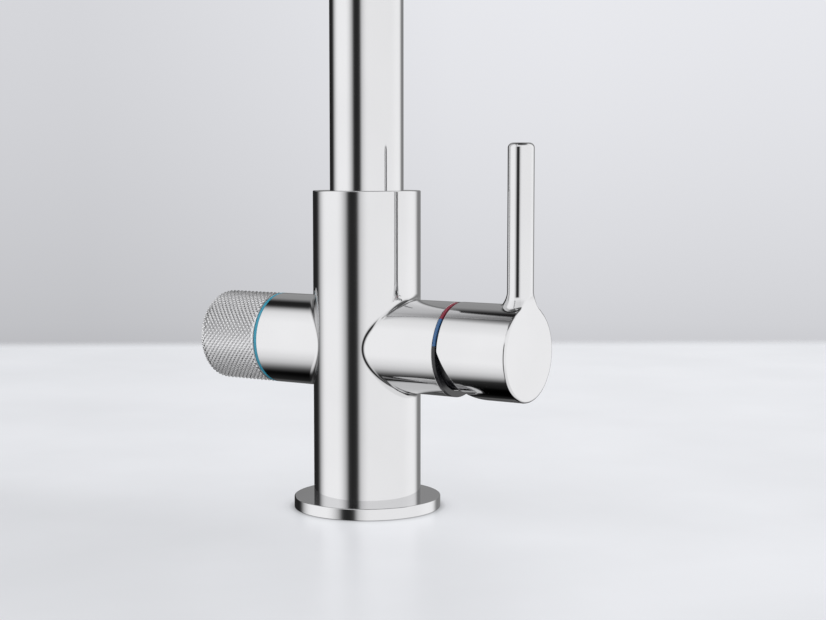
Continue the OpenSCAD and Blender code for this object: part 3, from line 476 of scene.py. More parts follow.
# Strips of an outline whose corners are rounded, as points and normals: the outline is
# listed with its material on the left, as (radius, along, rounding)
def outlineStrips(corners, closed=True, steps=6):
    spots = np.array([corner[:2] for corner in corners], dtype=float)
    starts = spots.copy()
    ends = spots.copy()
    arcs = {}
    for at in range(len(corners)):
        rounding = corners[at][2] if len(corners[at]) > 2 else 0.0
        if rounding <= 0.0:
            continue
        back = unit(spots[at - 1] - spots[at])
        ahead = unit(spots[(at + 1) % len(spots)] - spots[at])
        half = math.acos(max(-1.0, min(1.0, float(back @ ahead)))) / 2.0
        starts[at] = spots[at] + back * rounding / math.tan(half)
        ends[at] = spots[at] + ahead * rounding / math.tan(half)
        centre = spots[at] + unit(back + ahead) * rounding / math.sin(half)
        first = (starts[at] - centre) / rounding
        last = (ends[at] - centre) / rounding
        between = math.acos(max(-1.0, min(1.0, float(first @ last))))
        share = np.linspace(0.0, 1.0, steps + 1)[:, None]
        spokes = (np.sin((1.0 - share) * between) * first + np.sin(share * between) * last)
        spokes = spokes / math.sin(between)
        hollow = back[0] * ahead[1] - back[1] * ahead[0] > 0.0
        arcs[at] = (centre + spokes * rounding, -spokes if hollow else spokes)
    strips = []
    for at in range(len(corners)):
        if at in arcs:
            strips.append(arcs[at])
        if at == len(corners) - 1 and not closed:
            continue
        run = np.array([ends[at], starts[(at + 1) % len(spots)]])
        length = np.linalg.norm(run[1] - run[0])
        if length < 1e-4 or run[:, 0].max() < 1e-4:
            continue
        step = (run[1] - run[0]) / length
        strips.append((run, np.array([[step[1], -step[0]]] * 2)))
    return strips


def axisFrame(origin, along, side, up):
    return tuple(np.array(part, dtype=float) for part in (origin, along, side, up))


def lathe(strips, axis, sides=192, angles=None):
    origin, along, side, up = axis
    if angles is None:
        angles = np.linspace(0.0, 2.0 * math.pi, sides + 1)
    spokes = np.cos(angles)[:, None] * side + np.sin(angles)[:, None] * up
    skin = []
    for points, normals in strips:
        skin.append((origin + points[:, None, 1:] * along + points[:, None, :1] * spokes,
                     normals[:, None, 1:] * along + normals[:, None, :1] * spokes))
    return skin


# Diamonds with small flat tops, in a lattice that leans both ways, along a track with a point
# at each half pitch; its end rows are level, so that a lathe strip of the same sides joins it
def knurledBand(track, trackNormals, axis, around, depth, flat=0.34):
    origin, along, side, up = axis
    rows = len(track)
    columns = 2 * around
    row, column = np.meshgrid(np.arange(rows), np.arange(columns + 1), indexing="ij")
    angle = 2.0 * math.pi * column / columns
    spokes = np.cos(angle)[..., None] * side + np.sin(angle)[..., None] * up
    ending = (row == 0) | (row == rows - 1)

    def spots(sunk):
        place = track[:, None] - trackNormals[:, None] * sunk[..., None]
        return origin + place[..., 1:] * along + place[..., :1] * spokes

    raised = spots(np.where(ending, depth * 0.5, 0.0))
    low = spots(np.where(ending, depth * 0.5, np.where((row + column) % 2 == 1, depth, 0.0)))
    peak = ((row + column) % 2 == 0)[:-1, :-1]
    near, far = slice(0, -1), slice(1, None)
    corners = [(near, near), (near, far), (far, far), (far, near)]
    triangles = []
    for top, first, second in ((0, 1, 3), (2, 1, 3), (1, 0, 2), (3, 0, 2)):
        chosen = peak if top in (0, 2) else ~peak
        crown = low[corners[top]][chosen]
        share = np.where(ending[corners[top]], 0.0, flat)[chosen][:, None]
        shelves = [crown + (raised[corners[groove]][chosen] - crown) * share for groove in (first, second)]
        valleys = [low[corners[groove]][chosen] for groove in (first, second)]
        triangles.append(np.stack([crown, shelves[0], shelves[1]], axis=1))
        triangles.append(np.stack([shelves[0], valleys[0], valleys[1]], axis=1))
        triangles.append(np.stack([shelves[0], valleys[1], shelves[1]], axis=1))
    triangles = np.concatenate(triangles)
    facing = np.cross(triangles[:, 1] - triangles[:, 0], triangles[:, 2] - triangles[:, 0])
    triangles = triangles[np.linalg.norm(facing, axis=1) > 1e-7]
    facing = np.cross(triangles[:, 1] - triangles[:, 0], triangles[:, 2] - triangles[:, 0])
    middle = triangles.mean(axis=1) - origin
    outward = unit(middle - (middle @ along)[:, None] * along)
    tilt = np.interp(middle @ along, track[:, 1], trackNormals[:, 1])[:, None]
    away = outward * np.sqrt(np.maximum(1.0 - tilt ** 2, 0.0)) + along * tilt
    turned = np.einsum("ij,ij->i", facing, away) < 0
    return flatTriangles(np.where(turned[:, None, None], triangles[:, ::-1], triangles))


# A closed surface from a field of distances, with its normals. It is refined where it bends by more
# than so many degrees over an edge longer than so many millimetres
refining = dict(bend=4.5, length=0.27, sharpBend=14.0, sharpLength=0.07)
settling = dict(reach=0.02, rounds=4, furthest=0.4)


def solidFromField(field, low, high, step, refinements=3):
    block = 4
    sizes = [int(math.ceil((high[k] - low[k]) / step / block)) for k in range(3)]
    corner = np.stack(np.meshgrid(*[np.arange(size) * block for size in sizes], indexing="ij"), axis=-1)
    centres = np.array(low) + (corner + block / 2.0) * step
    rough = field(centres.reshape(-1, 3)).reshape(sizes)
    counts = [size * block + 1 for size in sizes]
    values = np.repeat(np.repeat(np.repeat(np.sign(rough), block, 0), block, 1), block, 2)
    values = np.pad(values, ((0, 1), (0, 1), (0, 1)), mode="edge")
    near = corner[np.abs(rough) < block * step]
    spread = np.stack(np.meshgrid(*[np.arange(block + 1)] * 3, indexing="ij"), axis=-1).reshape(-1, 3)
    nodes = (near[:, None] + spread).reshape(-1, 3)
    nodes = np.unique(nodes @ np.array([counts[1] * counts[2], counts[2], 1]))
    nodes = np.stack(np.unravel_index(nodes, counts), axis=-1)
    values[tuple(nodes.T)] = field(np.array(low) + nodes * step)
    inside = values < 0
    sums = []
    owners = []
    rings = []
    for k in range(3):
        others = [(k + 1) % 3, (k + 2) % 3]
        before = [slice(None)] * 3
        after = [slice(None)] * 3
        before[k] = slice(0, -1)
        after[k] = slice(1, None)
        crossed = np.argwhere(inside[tuple(before)] != inside[tuple(after)])
        beyond = crossed.copy()
        beyond[:, k] += 1
        first = values[tuple(crossed.T)]
        second = values[tuple(beyond.T)]
        spots = crossed.astype(float)
        spots[:, k] += first / (first - second)
        ring = []
        for shift in ((-1, -1), (0, -1), (0, 0), (-1, 0)):
            cell = crossed.copy()
            cell[:, others[0]] += shift[0]
            cell[:, others[1]] += shift[1]
            ring.append(cell @ np.array([counts[1] * counts[2], counts[2], 1]))
            sums.append(spots)
            owners.append(ring[-1])
        rings.append(np.stack(ring, axis=-1))
    owners = np.concatenate(owners)
    sums = np.concatenate(sums)
    cells, place = np.unique(owners, return_inverse=True)
    amount = np.bincount(place)
    spots = np.stack([np.bincount(place, weights=sums[:, k]) / amount for k in range(3)], axis=-1)
    quads = np.searchsorted(cells, np.concatenate(rings))
    mesh = bpy.data.meshes.new("draft")
    mesh.from_pydata(np.array(low) + spots * step, [], quads.tolist())
    shape = bmesh.new()
    shape.from_mesh(mesh)
    bpy.data.meshes.remove(mesh)
    for turn in range(refinements + 1):
        spots, normals = settled(field, np.array([vertex.co for vertex in shape.verts]))
        for vertex, spot in zip(shape.verts, spots):
            vertex.co = spot
        if turn == refinements:
            break
        shape.verts.index_update()
        ends = np.array([(edge.verts[0].index, edge.verts[1].index) for edge in shape.edges])
        level = np.einsum("ij,ij->i", normals[ends[:, 0]], normals[ends[:, 1]])
        bend = np.degrees(np.arccos(np.clip(level, -1.0, 1.0)))
        length = np.linalg.norm(spots[ends[:, 0]] - spots[ends[:, 1]], axis=1)
        chosen = (((bend > refining["sharpBend"]) & (length > refining["sharpLength"]))
                  | ((bend > refining["bend"]) & (length > refining["length"])))
        bent = [edge for edge, wanted in zip(shape.edges, chosen) if wanted]
        bmesh.ops.subdivide_edges(shape, edges=bent, cuts=1, use_grid_fill=True)
    bmesh.ops.triangulate(shape, faces=shape.faces[:])
    shape.verts.index_update()
    faces = np.array([[vertex.index for vertex in face.verts] for face in shape.faces])
    shape.free()
    return spots, faces, normals[faces]


# Points brought onto a field's surface, with the surface's normals
def settled(field, spots):
    reach = settling["reach"]
    for _ in range(settling["rounds"]):
        slope = fieldSlope(field, spots, reach)
        move = field(spots) / np.maximum(np.einsum("ij,ij->i", slope, slope), 0.05)
        spots = spots - slope * np.clip(move, -settling["furthest"], settling["furthest"])[:, None]
    return spots, unit(fieldSlope(field, spots, reach))


def fieldSlope(field, spots, reach):
    parts = []
    for k in range(3):
        shift = np.zeros(3)
        shift[k] = reach
        parts.append((field(spots + shift) - field(spots - shift)) / (2.0 * reach))
    return np.stack(parts, axis=-1)


# Two fields as one solid with a fillet, and what they share with a rounded edge
def joined(first, second, rounding):
    meet = np.hypot(np.maximum(rounding - first, 0.0), np.maximum(rounding - second, 0.0))
    return np.maximum(rounding, np.minimum(first, second)) - meet


def common(first, second, rounding):
    meet = np.hypot(np.maximum(rounding + first, 0.0), np.maximum(rounding + second, 0.0))
    return np.minimum(-rounding, np.maximum(first, second)) + meet


# Sizes that the CAD nodes give, in millimetres

def nodeBox(node):
    low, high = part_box(node)
    return np.array(low) / mm, np.array(high) / mm


upright = axisFrame((0, 0, 0), (0, 0, 1), (1, 0, 0), (0, 1, 0))
joints = {row["name"]: row for row in frame["joints"]}
pivot = np.array(joints["mixer_tilt"]["pos_m"]) / mm
armZ = pivot[2]
rightArm = axisFrame((0, 0, armZ), (1, 0, 0), (0, 0, 1), (0, 1, 0))
leftArm = axisFrame((0, 0, armZ), (-1, 0, 0), (0, 0, 1), (0, -1, 0))
outletY = (nodeBox("capsule_sleeve")[0][1] + nodeBox("capsule_sleeve")[1][1]) / 2.0
outlet = axisFrame((0, outletY, 0), (0, 0, 1), (1, 0, 0), (0, 1, 0))


# The body: an upright cylinder with two arms, their joints rounded as a ball would roll

bodyShape = dict(armRound=2.4, armRoundMore=1.1, armEdge=0.15, mouthEdge=0.2, edgeStart=2.0,
                 mixerMouth=14.05, mixerMouthEnd=33.0, mixerBore=12.55, filterMouth=14.2,
                 filterMouthEnd=36.1, filterBore=10.55, armFloor=14.0, rimRound=0.45, boreRound=0.3,
                 ringBore=14.05, stemBore=12.05, stemFloor=85.0, footBore=16.55, screwHole=2.55,
                 screwFloor=14.6, screwPatch=5.0, screwSide=16, patchHalf=30.0, patchSide=96,
                 patchRows=14, filletRows=8)


# The wall around a round hole, as far as a square of perSide steps a side, with the hole's outline
# given by its turn
def holePatch(skin, radius, centreAngle, centreZ, halfAngle, halfHeight, perSide, hole):
    climb = np.linspace(-1.0, 1.0, perSide + 1)[:-1]
    full = np.ones(perSide)
    across = np.concatenate([climb, full, -climb, -full])
    height = np.concatenate([full, -climb, -full, climb])
    turn = np.arctan2(across, height)
    turn = np.append(turn, turn[0])
    across = np.append(across, across[0]) * halfAngle
    height = np.append(height, height[0]) * halfHeight
    holeAngle, holeHeight = hole(turn)
    share = np.linspace(0.0, 1.0, bodyShape["patchRows"] + 1)[:, None]
    angle = centreAngle + holeAngle * (1.0 - share) + across * share
    z = centreZ + holeHeight * (1.0 - share) + height * share
    normals = np.stack([np.cos(angle), np.sin(angle), np.zeros_like(angle)], axis=-1)
    points = normals * radius
    points[..., 2] = z
    skin.append((points, normals))
    return turn


def wallBand(skin, radius, fromAngle, toAngle, steps, fromZ, toZ):
    angle = np.linspace(fromAngle, toAngle, steps + 1)[None] + np.zeros((2, 1))
    normals = np.stack([np.cos(angle), np.sin(angle), np.zeros_like(angle)], axis=-1)
    points = normals * radius
    points[..., 2] = np.array([[fromZ], [toZ]])
    skin.append((points, normals))


# The wall around an arm, the fillet that a rolling ball leaves, and the arm with its outline inside
def armJoint(skin, centreAngle, radius, armRadius, outline):
    def rolled(turn):
        return bodyShape["armRound"] + bodyShape["armRoundMore"] * np.sin(turn) ** 2

    def hole(turn):
        reach = armRadius + rolled(turn)
        side = reach * np.sin(turn)
        ahead = np.sqrt((radius + rolled(turn)) ** 2 - side ** 2)
        return np.arctan2(side, ahead), reach * np.cos(turn)

    turn = holePatch(skin, radius, centreAngle, armZ, math.pi / 2.0, bodyShape["patchHalf"],
                     bodyShape["patchSide"], hole)
    rolling = rolled(turn)
    reach = armRadius + rolling
    side = reach * np.sin(turn)
    ahead = np.sqrt((radius + rolling) ** 2 - side ** 2)
    centre = np.stack([ahead, side, reach * np.cos(turn)], axis=-1)
    onBody = np.stack([ahead, side, np.zeros_like(side)], axis=-1) * (radius / (radius + rolling))[:, None]
    onBody[:, 2] = centre[:, 2]
    onArm = np.stack([ahead, side * armRadius / reach, centre[:, 2] * armRadius / reach], axis=-1)
    first = unit(onBody - centre)
    last = unit(onArm - centre)
    between = np.arccos(np.clip(np.einsum("ij,ij->i", first, last), -1.0, 1.0))[:, None]
    share = np.linspace(0.0, 1.0, bodyShape["filletRows"] + 1)[:, None, None]
    spokes = np.sin((1.0 - share) * between) * first + np.sin(share * between) * last
    spokes = spokes / np.sin(between)
    outward = np.array([[math.cos(centreAngle), math.sin(centreAngle), 0.0],
                        [-math.sin(centreAngle), math.cos(centreAngle), 0.0], [0.0, 0.0, 1.0]])
    lift = np.array([0.0, 0.0, armZ])
    skin.append(((centre + spokes * rolling[:, None]) @ outward + lift, -spokes @ outward))
    strips = outlineStrips(outline, closed=False, steps=3)
    mouth = strips[0][0][0]
    armNormals = np.stack([np.zeros_like(side), np.sin(turn), np.cos(turn)], axis=-1)
    rim = armNormals * armRadius
    rim[:, 0] = mouth[1]
    skin.append((np.stack([onArm, rim]) @ outward + lift, np.stack([armNormals] * 2) @ outward))
    axis = axisFrame((0, 0, armZ), outward[0], (0, 0, 1), outward[1])
    skin.extend(lathe(strips, axis, angles=turn))


# The web above the shank, with the two threaded inlets
def inletWeb(skin, bore):
    inlets = [row for row in frame["record"]["mounts"] if row["name"].startswith("inlet")]
    steps = bodyShape["patchSide"]
    for inlet in inlets:
        centre = np.array(inlet["pos_m"]) / mm
        holeRadius = inlet["dims"]["r_mm"]
        deep = inlet["dims"]["length_mm"]
        webZ = centre[2] - deep / 2.0
        side = math.copysign(1.0, centre[1])
        around = np.linspace(0.0, math.pi, steps + 1) * side
        reach = math.atan(bore / abs(centre[1]))
        straight = -abs(centre[1]) * np.tan(np.linspace(reach, -reach, steps // 2 + 1))
        edge = np.concatenate([np.stack([np.cos(around), np.sin(around)], axis=-1) * bore,
                               np.stack([straight[1:], np.zeros(steps // 2)], axis=-1)])
        spokes = unit(edge - centre[:2])
        circle = centre[:2] + spokes * holeRadius
        middle = np.broadcast_to(centre[:2], circle.shape)
        heights = np.array([webZ, webZ, webZ + deep, webZ + deep])
        rows = np.concatenate([np.stack([edge, circle, circle, middle]),
                               np.broadcast_to(heights[:, None, None], (4, len(edge), 1))], axis=-1)
        down = np.zeros((2, len(edge), 3)) + (0.0, 0.0, -1.0)
        inward = np.concatenate([-spokes, np.zeros((len(edge), 1))], axis=-1)
        skin.extend([(rows[:2], down), (rows[1:3], np.stack([inward, inward])), (rows[2:], down)])
    return webZ


def armOutline(armRadius, end, mouth, mouthEnd, bore):
    armFloor = bodyShape["armFloor"]
    return ((armRadius, end - bodyShape["edgeStart"]), (armRadius, end, bodyShape["armEdge"]),
            (mouth, end, bodyShape["mouthEdge"]), (mouth, mouthEnd), (bore, mouthEnd), (bore, armFloor),
            (0.0, armFloor))


def makeBody():
    low, high = nodeBox("tap_body")
    radius = high[1]
    armRadius = nodeBox("teal_ring")[1][1]
    half = bodyShape["patchHalf"]
    screwZ = (nodeBox("spout_set_screw")[0][2] + nodeBox("spout_set_screw")[1][2]) / 2.0
    socketFloor = nodeBox("slip_ring")[0][2]
    skin = []
    armJoint(skin, 0.0, radius, armRadius, armOutline(
        armRadius, high[0], bodyShape["mixerMouth"], bodyShape["mixerMouthEnd"], bodyShape["mixerBore"]))
    armJoint(skin, math.pi, radius, armRadius, armOutline(
        armRadius, -low[0], bodyShape["filterMouth"], bodyShape["filterMouthEnd"], bodyShape["filterBore"]))
    turn = 2.0 * math.pi
    quarter = math.pi / 2.0
    sides = 2 * bodyShape["patchSide"]
    wallBand(skin, radius, -quarter, turn - quarter, sides, low[2], armZ - half)
    bandLow = screwZ - bodyShape["screwPatch"]
    bandHigh = screwZ + bodyShape["screwPatch"]
    wallBand(skin, radius, -quarter, turn - quarter, sides, armZ + half, bandLow)
    wallBand(skin, radius, -quarter, turn - quarter, sides, bandHigh, high[2] - bodyShape["rimRound"])
    patch = bodyShape["screwSide"] * math.pi / sides
    wallBand(skin, radius, quarter + patch, turn + quarter - patch, sides - bodyShape["screwSide"],
             bandLow, bandHigh)
    holeRadius = bodyShape["screwHole"]
    around = holePatch(skin, radius, quarter, screwZ, patch, bodyShape["screwPatch"],
                       bodyShape["screwSide"],
                       lambda at: (np.arcsin(holeRadius * np.sin(at) / radius), holeRadius * np.cos(at)))
    screwFloor = np.full_like(around, bodyShape["screwFloor"])
    depths = np.stack([np.sqrt(radius ** 2 - (holeRadius * np.sin(around)) ** 2), screwFloor, screwFloor])
    spread = np.array([1.0, 1.0, 0.0])[:, None] * holeRadius
    wall = np.stack([-spread * np.sin(around), depths, screwZ + spread * np.cos(around)], axis=-1)
    inward = np.stack([np.sin(around), np.zeros_like(around), -np.cos(around)], axis=-1)
    skin.append((wall[:2], np.stack([inward, inward])))
    floorNormals = np.zeros_like(wall[1:])
    floorNormals[..., 1] = 1.0
    skin.append((wall[1:], floorNormals))
    angles = np.linspace(-quarter, turn - quarter, sides + 1)
    ringBore = bodyShape["ringBore"]
    stemBore = bodyShape["stemBore"]
    stemFloor = bodyShape["stemFloor"]
    rim = outlineStrips((
        (radius, high[2] - bodyShape["edgeStart"]), (radius, high[2], bodyShape["rimRound"]),
        (ringBore, high[2], bodyShape["boreRound"]), (ringBore, socketFloor), (stemBore, socketFloor),
        (stemBore, stemFloor), (0.0, stemFloor)), closed=False)
    skin.extend(lathe(rim[1:], upright, angles=angles))
    footBore = bodyShape["footBore"]
    foot = outlineStrips(((footBore, inletWeb(skin, footBore)), (footBore, low[2]), (radius, low[2])),
                         closed=False)
    skin.extend(lathe(foot, upright, angles=angles))
    return makePiece("casting", skin, "tap", "chrome", "tap_body")


makeBody()
print("body made")


# The flange on the worktop

flangeShape = dict(bore=16.8, sealEnd=24.25, lowerEdge=0.25, upperEdge=0.4, boreEdge=0.2, sides=240)


def makeFlange():
    low, high = nodeBox("base_flange")
    bore = flangeShape["bore"]
    outline = ((bore, low[2]), (flangeShape["sealEnd"], low[2]),
               (high[0], low[2], flangeShape["lowerEdge"]), (high[0], high[2], flangeShape["upperEdge"]),
               (bore, high[2], flangeShape["boreEdge"]))
    skin = lathe(outlineStrips(outline), upright, flangeShape["sides"])
    makePiece("flange", skin, "tap", "chrome", "base_flange")


makeFlange()
print("flange made")


# The knob: knurled over its side and its rounded end

knobShape = dict(around=52, pitch=1.90, depth=0.42, endRound=4.0, knurledBend=0.86, plainEdge=0.35,
                 faceStep=0.5, faceEdge=0.25, mouthEdge=0.3, rearStep=0.1, rearEdge=0.2, room=14.6,
                 roomDepth=10.6, boss=7.5, bossDepth=21.7)


def makeKnob():
    low, high = nodeBox("filter_knob")
    radius = high[1]
    start = -high[0]
    end = -low[0]
    rounding = knobShape["endRound"]
    half = knobShape["pitch"] / 2.0
    edge = knobShape["plainEdge"]
    straight = end - rounding - start - edge
    bend = rounding * math.pi / 2.0 * knobShape["knurledBend"]
    rows = int(round((straight + bend) / half))
    distance = np.linspace(0.0, straight + bend, rows + 1)
    angle = np.clip((distance - straight) / rounding, 0.0, None)
    onBend = distance > straight
    track = np.stack([np.where(onBend, radius - rounding + rounding * np.cos(angle), radius),
                      np.where(onBend, end - rounding + rounding * np.sin(angle), start + edge + distance)],
                     axis=-1)
    trackNormals = np.stack([np.cos(angle), np.sin(angle)], axis=-1)
    skin = [knurledBand(track, trackNormals, leftArm, knobShape["around"], knobShape["depth"])]
    sunk = knobShape["depth"] * 0.5
    first = track[0] - trackNormals[0] * sunk
    last = track[-1] - trackNormals[-1] * sunk
    room = knobShape["room"]
    roomEnd = start + knobShape["roomDepth"]
    boss = knobShape["boss"]
    bossEnd = start + knobShape["bossDepth"]
    face = ((last[0], last[1]), (last[0] - knobShape["faceStep"], end, knobShape["faceEdge"]), (0.0, end))
    inside = ((0.0, bossEnd), (boss, bossEnd), (boss, roomEnd), (room, roomEnd),
              (room, start, knobShape["mouthEdge"]),
              (first[0] - knobShape["rearStep"], start, knobShape["rearEdge"]), (first[0], first[1]))
    for outline in (face, inside):
        skin.extend(lathe(outlineStrips(outline, closed=False), leftArm, 2 * knobShape["around"]))
    makePiece("knob_knurled", skin, "knob", "knurled_metal", "filter_knob")


makeKnob()
print("knob made")


# The lever: cap and rod in one casting

leverShape = dict(rodRadius=4.8, rodInset=0.025, topRound=1.9, proud=0.9, footCurve=7.0, footTilt=29.0,
                  footHeight=4.9, footRound=0.7, runOut=12.0, runOutDepth=1.0, faceBevel=1.1,
                  neckBevel=0.35, neckDepths=(3.5, 1.0), edge=0.15, hollow=16.2, hollowEdge=0.12,
                  cutAngle=24.5, cutReach=6.15, cutRound=6.0, bore=4.03, boreEnd=62.6, screwX=55.75,
                  screwRadius=2.5, step=0.5, margin=1.0)


def makeLever():
    low, high = nodeBox("mixer_lever")
    capRadius = high[1]
    face = high[0] - leverShape["proud"]
    rear = low[0]
    top = high[2]
    rodX = high[0] - leverShape["rodRadius"] - leverShape["rodInset"]
    footTop = armZ + capRadius + leverShape["footHeight"]
    trimTop = armZ + capRadius - leverShape["runOutDepth"]
    edge = leverShape["edge"]
    neckStart, neckEnd = leverShape["neckDepths"]
    lean = math.radians(leverShape["cutAngle"])
    cutNormal = np.array([math.cos(lean), 0.0, math.sin(lean)])
    tilt = (math.cos(math.radians(leverShape["footTilt"])), math.sin(math.radians(leverShape["footTilt"])))

    def field(spots):
        x, y, z = spots[:, 0], spots[:, 1], spots[:, 2]
        rise = z - armZ
        cap = common(np.hypot(y, rise) - capRadius, rear - x, edge)
        under = common(leverShape["cutReach"] - (spots - pivot) @ cutNormal, -rise - capRadius,
                       leverShape["cutRound"])
        cap = common(cap, under, edge)
        fromRod = np.hypot(x - rodX, y)
        rod = common(fromRod - leverShape["rodRadius"], z - top, leverShape["topRound"])
        inward = leverShape["rodRadius"] + leverShape["footCurve"] - fromRod
        down = footTop - z
        onCone = down * tilt[0] > inward * tilt[1]
        flare = leverShape["footCurve"] - np.where(onCone, inward * tilt[0] + down * tilt[1],
                                                   np.hypot(inward, down))
        rod = np.maximum(np.minimum(rod, np.maximum(flare, -down)), armZ - z)
        solid = joined(cap, rod, leverShape["footRound"])
        runOut = leverShape["runOut"] - np.hypot(x - face - leverShape["runOut"], z - trimTop)
        trim = np.where(z < trimTop, x - face, runOut)
        bevel = np.interp(rise, (capRadius - neckStart, capRadius - neckEnd),
                          (leverShape["faceBevel"], leverShape["neckBevel"]))
        solid = common(solid, trim, bevel)
        solid = common(solid, leverShape["hollow"] - np.linalg.norm(spots - pivot, axis=1),
                       leverShape["hollowEdge"])
        bore = np.maximum(np.hypot(y, rise) - leverShape["bore"], x - leverShape["boreEnd"])
        solid = np.maximum(solid, -np.maximum(bore, pivot[0] - x))
        screw = np.maximum(np.hypot(x - leverShape["screwX"], y) - leverShape["screwRadius"], rise)
        return common(solid, -screw, edge)

    margin = leverShape["margin"]
    skin = [solidFromField(field, (rear - margin, -capRadius - margin, armZ - capRadius - margin),
                           (high[0] + margin, capRadius + margin, top + margin), leverShape["step"])]
    makePiece("lever", skin, "lever", "chrome", "mixer_lever")


makeLever()
print("lever made")


# Part of a ring between two angles, closed at both ends
def ringPart(outline, axis, fromAngle, toAngle, sides):
    strips = outlineStrips(outline, steps=3)
    angles = np.radians(np.linspace(fromAngle, toAngle, sides + 1))
    skin = lathe(strips, axis, angles=angles)
    origin, along, side, up = axis
    section = np.concatenate([points for points, _ in strips])
    for angle, sense in ((angles[0], -1.0), (angles[-1], 1.0)):
        spoke = math.cos(angle) * side + math.sin(angle) * up
        spots = origin + section[:, 1:] * along + section[:, :1] * spoke
        middle = np.repeat(spots.mean(axis=0)[None], len(spots), axis=0)
        fan = np.stack([middle, spots, np.roll(spots, -1, axis=0)], axis=1)
        fan = fan[np.linalg.norm(fan[:, 1] - fan[:, 2], axis=1) > 1e-4]
        facing = sense * (math.cos(angle) * up - math.sin(angle) * side)
        skin.append((fan.reshape(-1, 3), np.arange(len(fan) * 3).reshape(-1, 3),
                     np.broadcast_to(facing, fan.shape).copy()))
    return skin


# The coloured rings at the arms' ends

ringShape = dict(edge=0.16, filterBore=14.27, mixerBore=15.26, markFloor=16.8, markInset=0.1,
                 markGap=0.05, hot=(-45.0, -4.0), cold=(-81.0, -45.0), rimSides=160, markSides=36)


def makeRings():
    low, high = nodeBox("teal_ring")
    edge = ringShape["edge"]
    bore = ringShape["filterBore"]
    teal = ((bore, -high[0]), (high[1], -high[0], edge), (high[1], -low[0], 2.0 * edge),
            (bore, -low[0], edge))
    makePiece("filter_side_ring", lathe(outlineStrips(teal), leftArm), "tap", "teal_plastic", "teal_ring")

    low, high = nodeBox("indicator_ring")
    markFloor = ringShape["markFloor"]
    bore = ringShape["mixerBore"]
    core = ((bore, low[0]), (markFloor, low[0]), (markFloor, high[0]), (bore, high[0], edge))
    skin = lathe(outlineStrips(core), rightArm)
    rim = ((markFloor, low[0]), (high[1], low[0], edge), (high[1], high[0], edge), (markFloor, high[0]))
    skin.extend(ringPart(rim, rightArm, ringShape["hot"][1], 360.0 + ringShape["cold"][0],
                         ringShape["rimSides"]))
    makePiece("mixer_side_ring", skin, "tap", "black_plastic", "indicator_ring", materials["glossy_black"])
    near = low[0] + ringShape["markInset"]
    far = high[0] - ringShape["markInset"]
    gap = ringShape["markGap"]
    bar = ((markFloor, near), (high[1], near, edge), (high[1], far, edge), (markFloor, far))
    for name, slot, node, span in (("red_arc", "red_mark", "hot_mark", ringShape["hot"]),
                                   ("blue_arc", "blue_mark", "cold_mark", ringShape["cold"])):
        arc = ringPart(bar, rightArm, span[0] + gap, span[1] - gap, ringShape["markSides"])
        makePiece(name, arc, "tap", slot, node)


makeRings()
print("rings made")


# The spout: a bent tube, with the filter sleeve at its end

spoutShape = dict(bore=12.8, legEnd=278.0, bendSteps=64, sides=128, sleeveBore=15.1, sleeveEdge=0.3)


def makeSpout():
    low, high = nodeBox("spout_tube")
    radius = high[0]
    bend = -outletY / 2.0
    bendZ = high[2] - radius - bend
    turn = np.linspace(0.0, math.pi, spoutShape["bendSteps"] + 1)
    path = np.stack([np.zeros_like(turn), bend * np.cos(turn) - bend, bend * np.sin(turn) + bendZ], axis=-1)
    path = np.concatenate([[(0.0, 0.0, low[2])], path, [(0.0, outletY, spoutShape["legEnd"])]])
    turn = np.concatenate([[0.0], turn, [math.pi]])
    out = np.stack([np.zeros_like(turn), np.cos(turn), np.sin(turn)], axis=-1)[:, None]
    angle = np.linspace(0.0, 2.0 * math.pi, spoutShape["sides"] + 1)[None, :, None]
    spokes = np.cos(angle) * np.array([1.0, 0.0, 0.0]) + np.sin(angle) * out
    outer = path[:, None] + spokes * radius
    inner = path[:, None] + spokes * spoutShape["bore"]
    down = np.zeros((2, spoutShape["sides"] + 1, 3)) + (0.0, 0.0, -1.0)
    skin = [(outer, spokes), (inner, -spokes), (np.stack([inner[0], outer[0]]), down),
            (np.stack([inner[-1], outer[-1]]), down)]
    makePiece("spout_bent", skin, "spout", "chrome", "spout_tube")

    low, high = nodeBox("capsule_sleeve")
    edge = spoutShape["sleeveEdge"]
    outline = ((spoutShape["sleeveBore"], low[2]), (high[0], low[2], edge), (high[0], high[2], edge),
               (spoutShape["sleeveBore"], high[2], edge))
    sleeve = makePiece("sleeve", lathe(outlineStrips(outline), outlet), "filter_holder", "chrome",
                       "capsule_sleeve")
    sleeve.visible_glossy = False


makeSpout()
print("spout made")


# The knurled ring at the outlet

nozzleShape = dict(around=44, pitch=1.9, depth=0.42, edge=0.6, bevel=0.4, lowerEdge=0.2, spigot=15.05,
                   spigotTop=216.9, spigotEdge=0.3, bore=12.05, boreTop=207.4, passage=8.0)


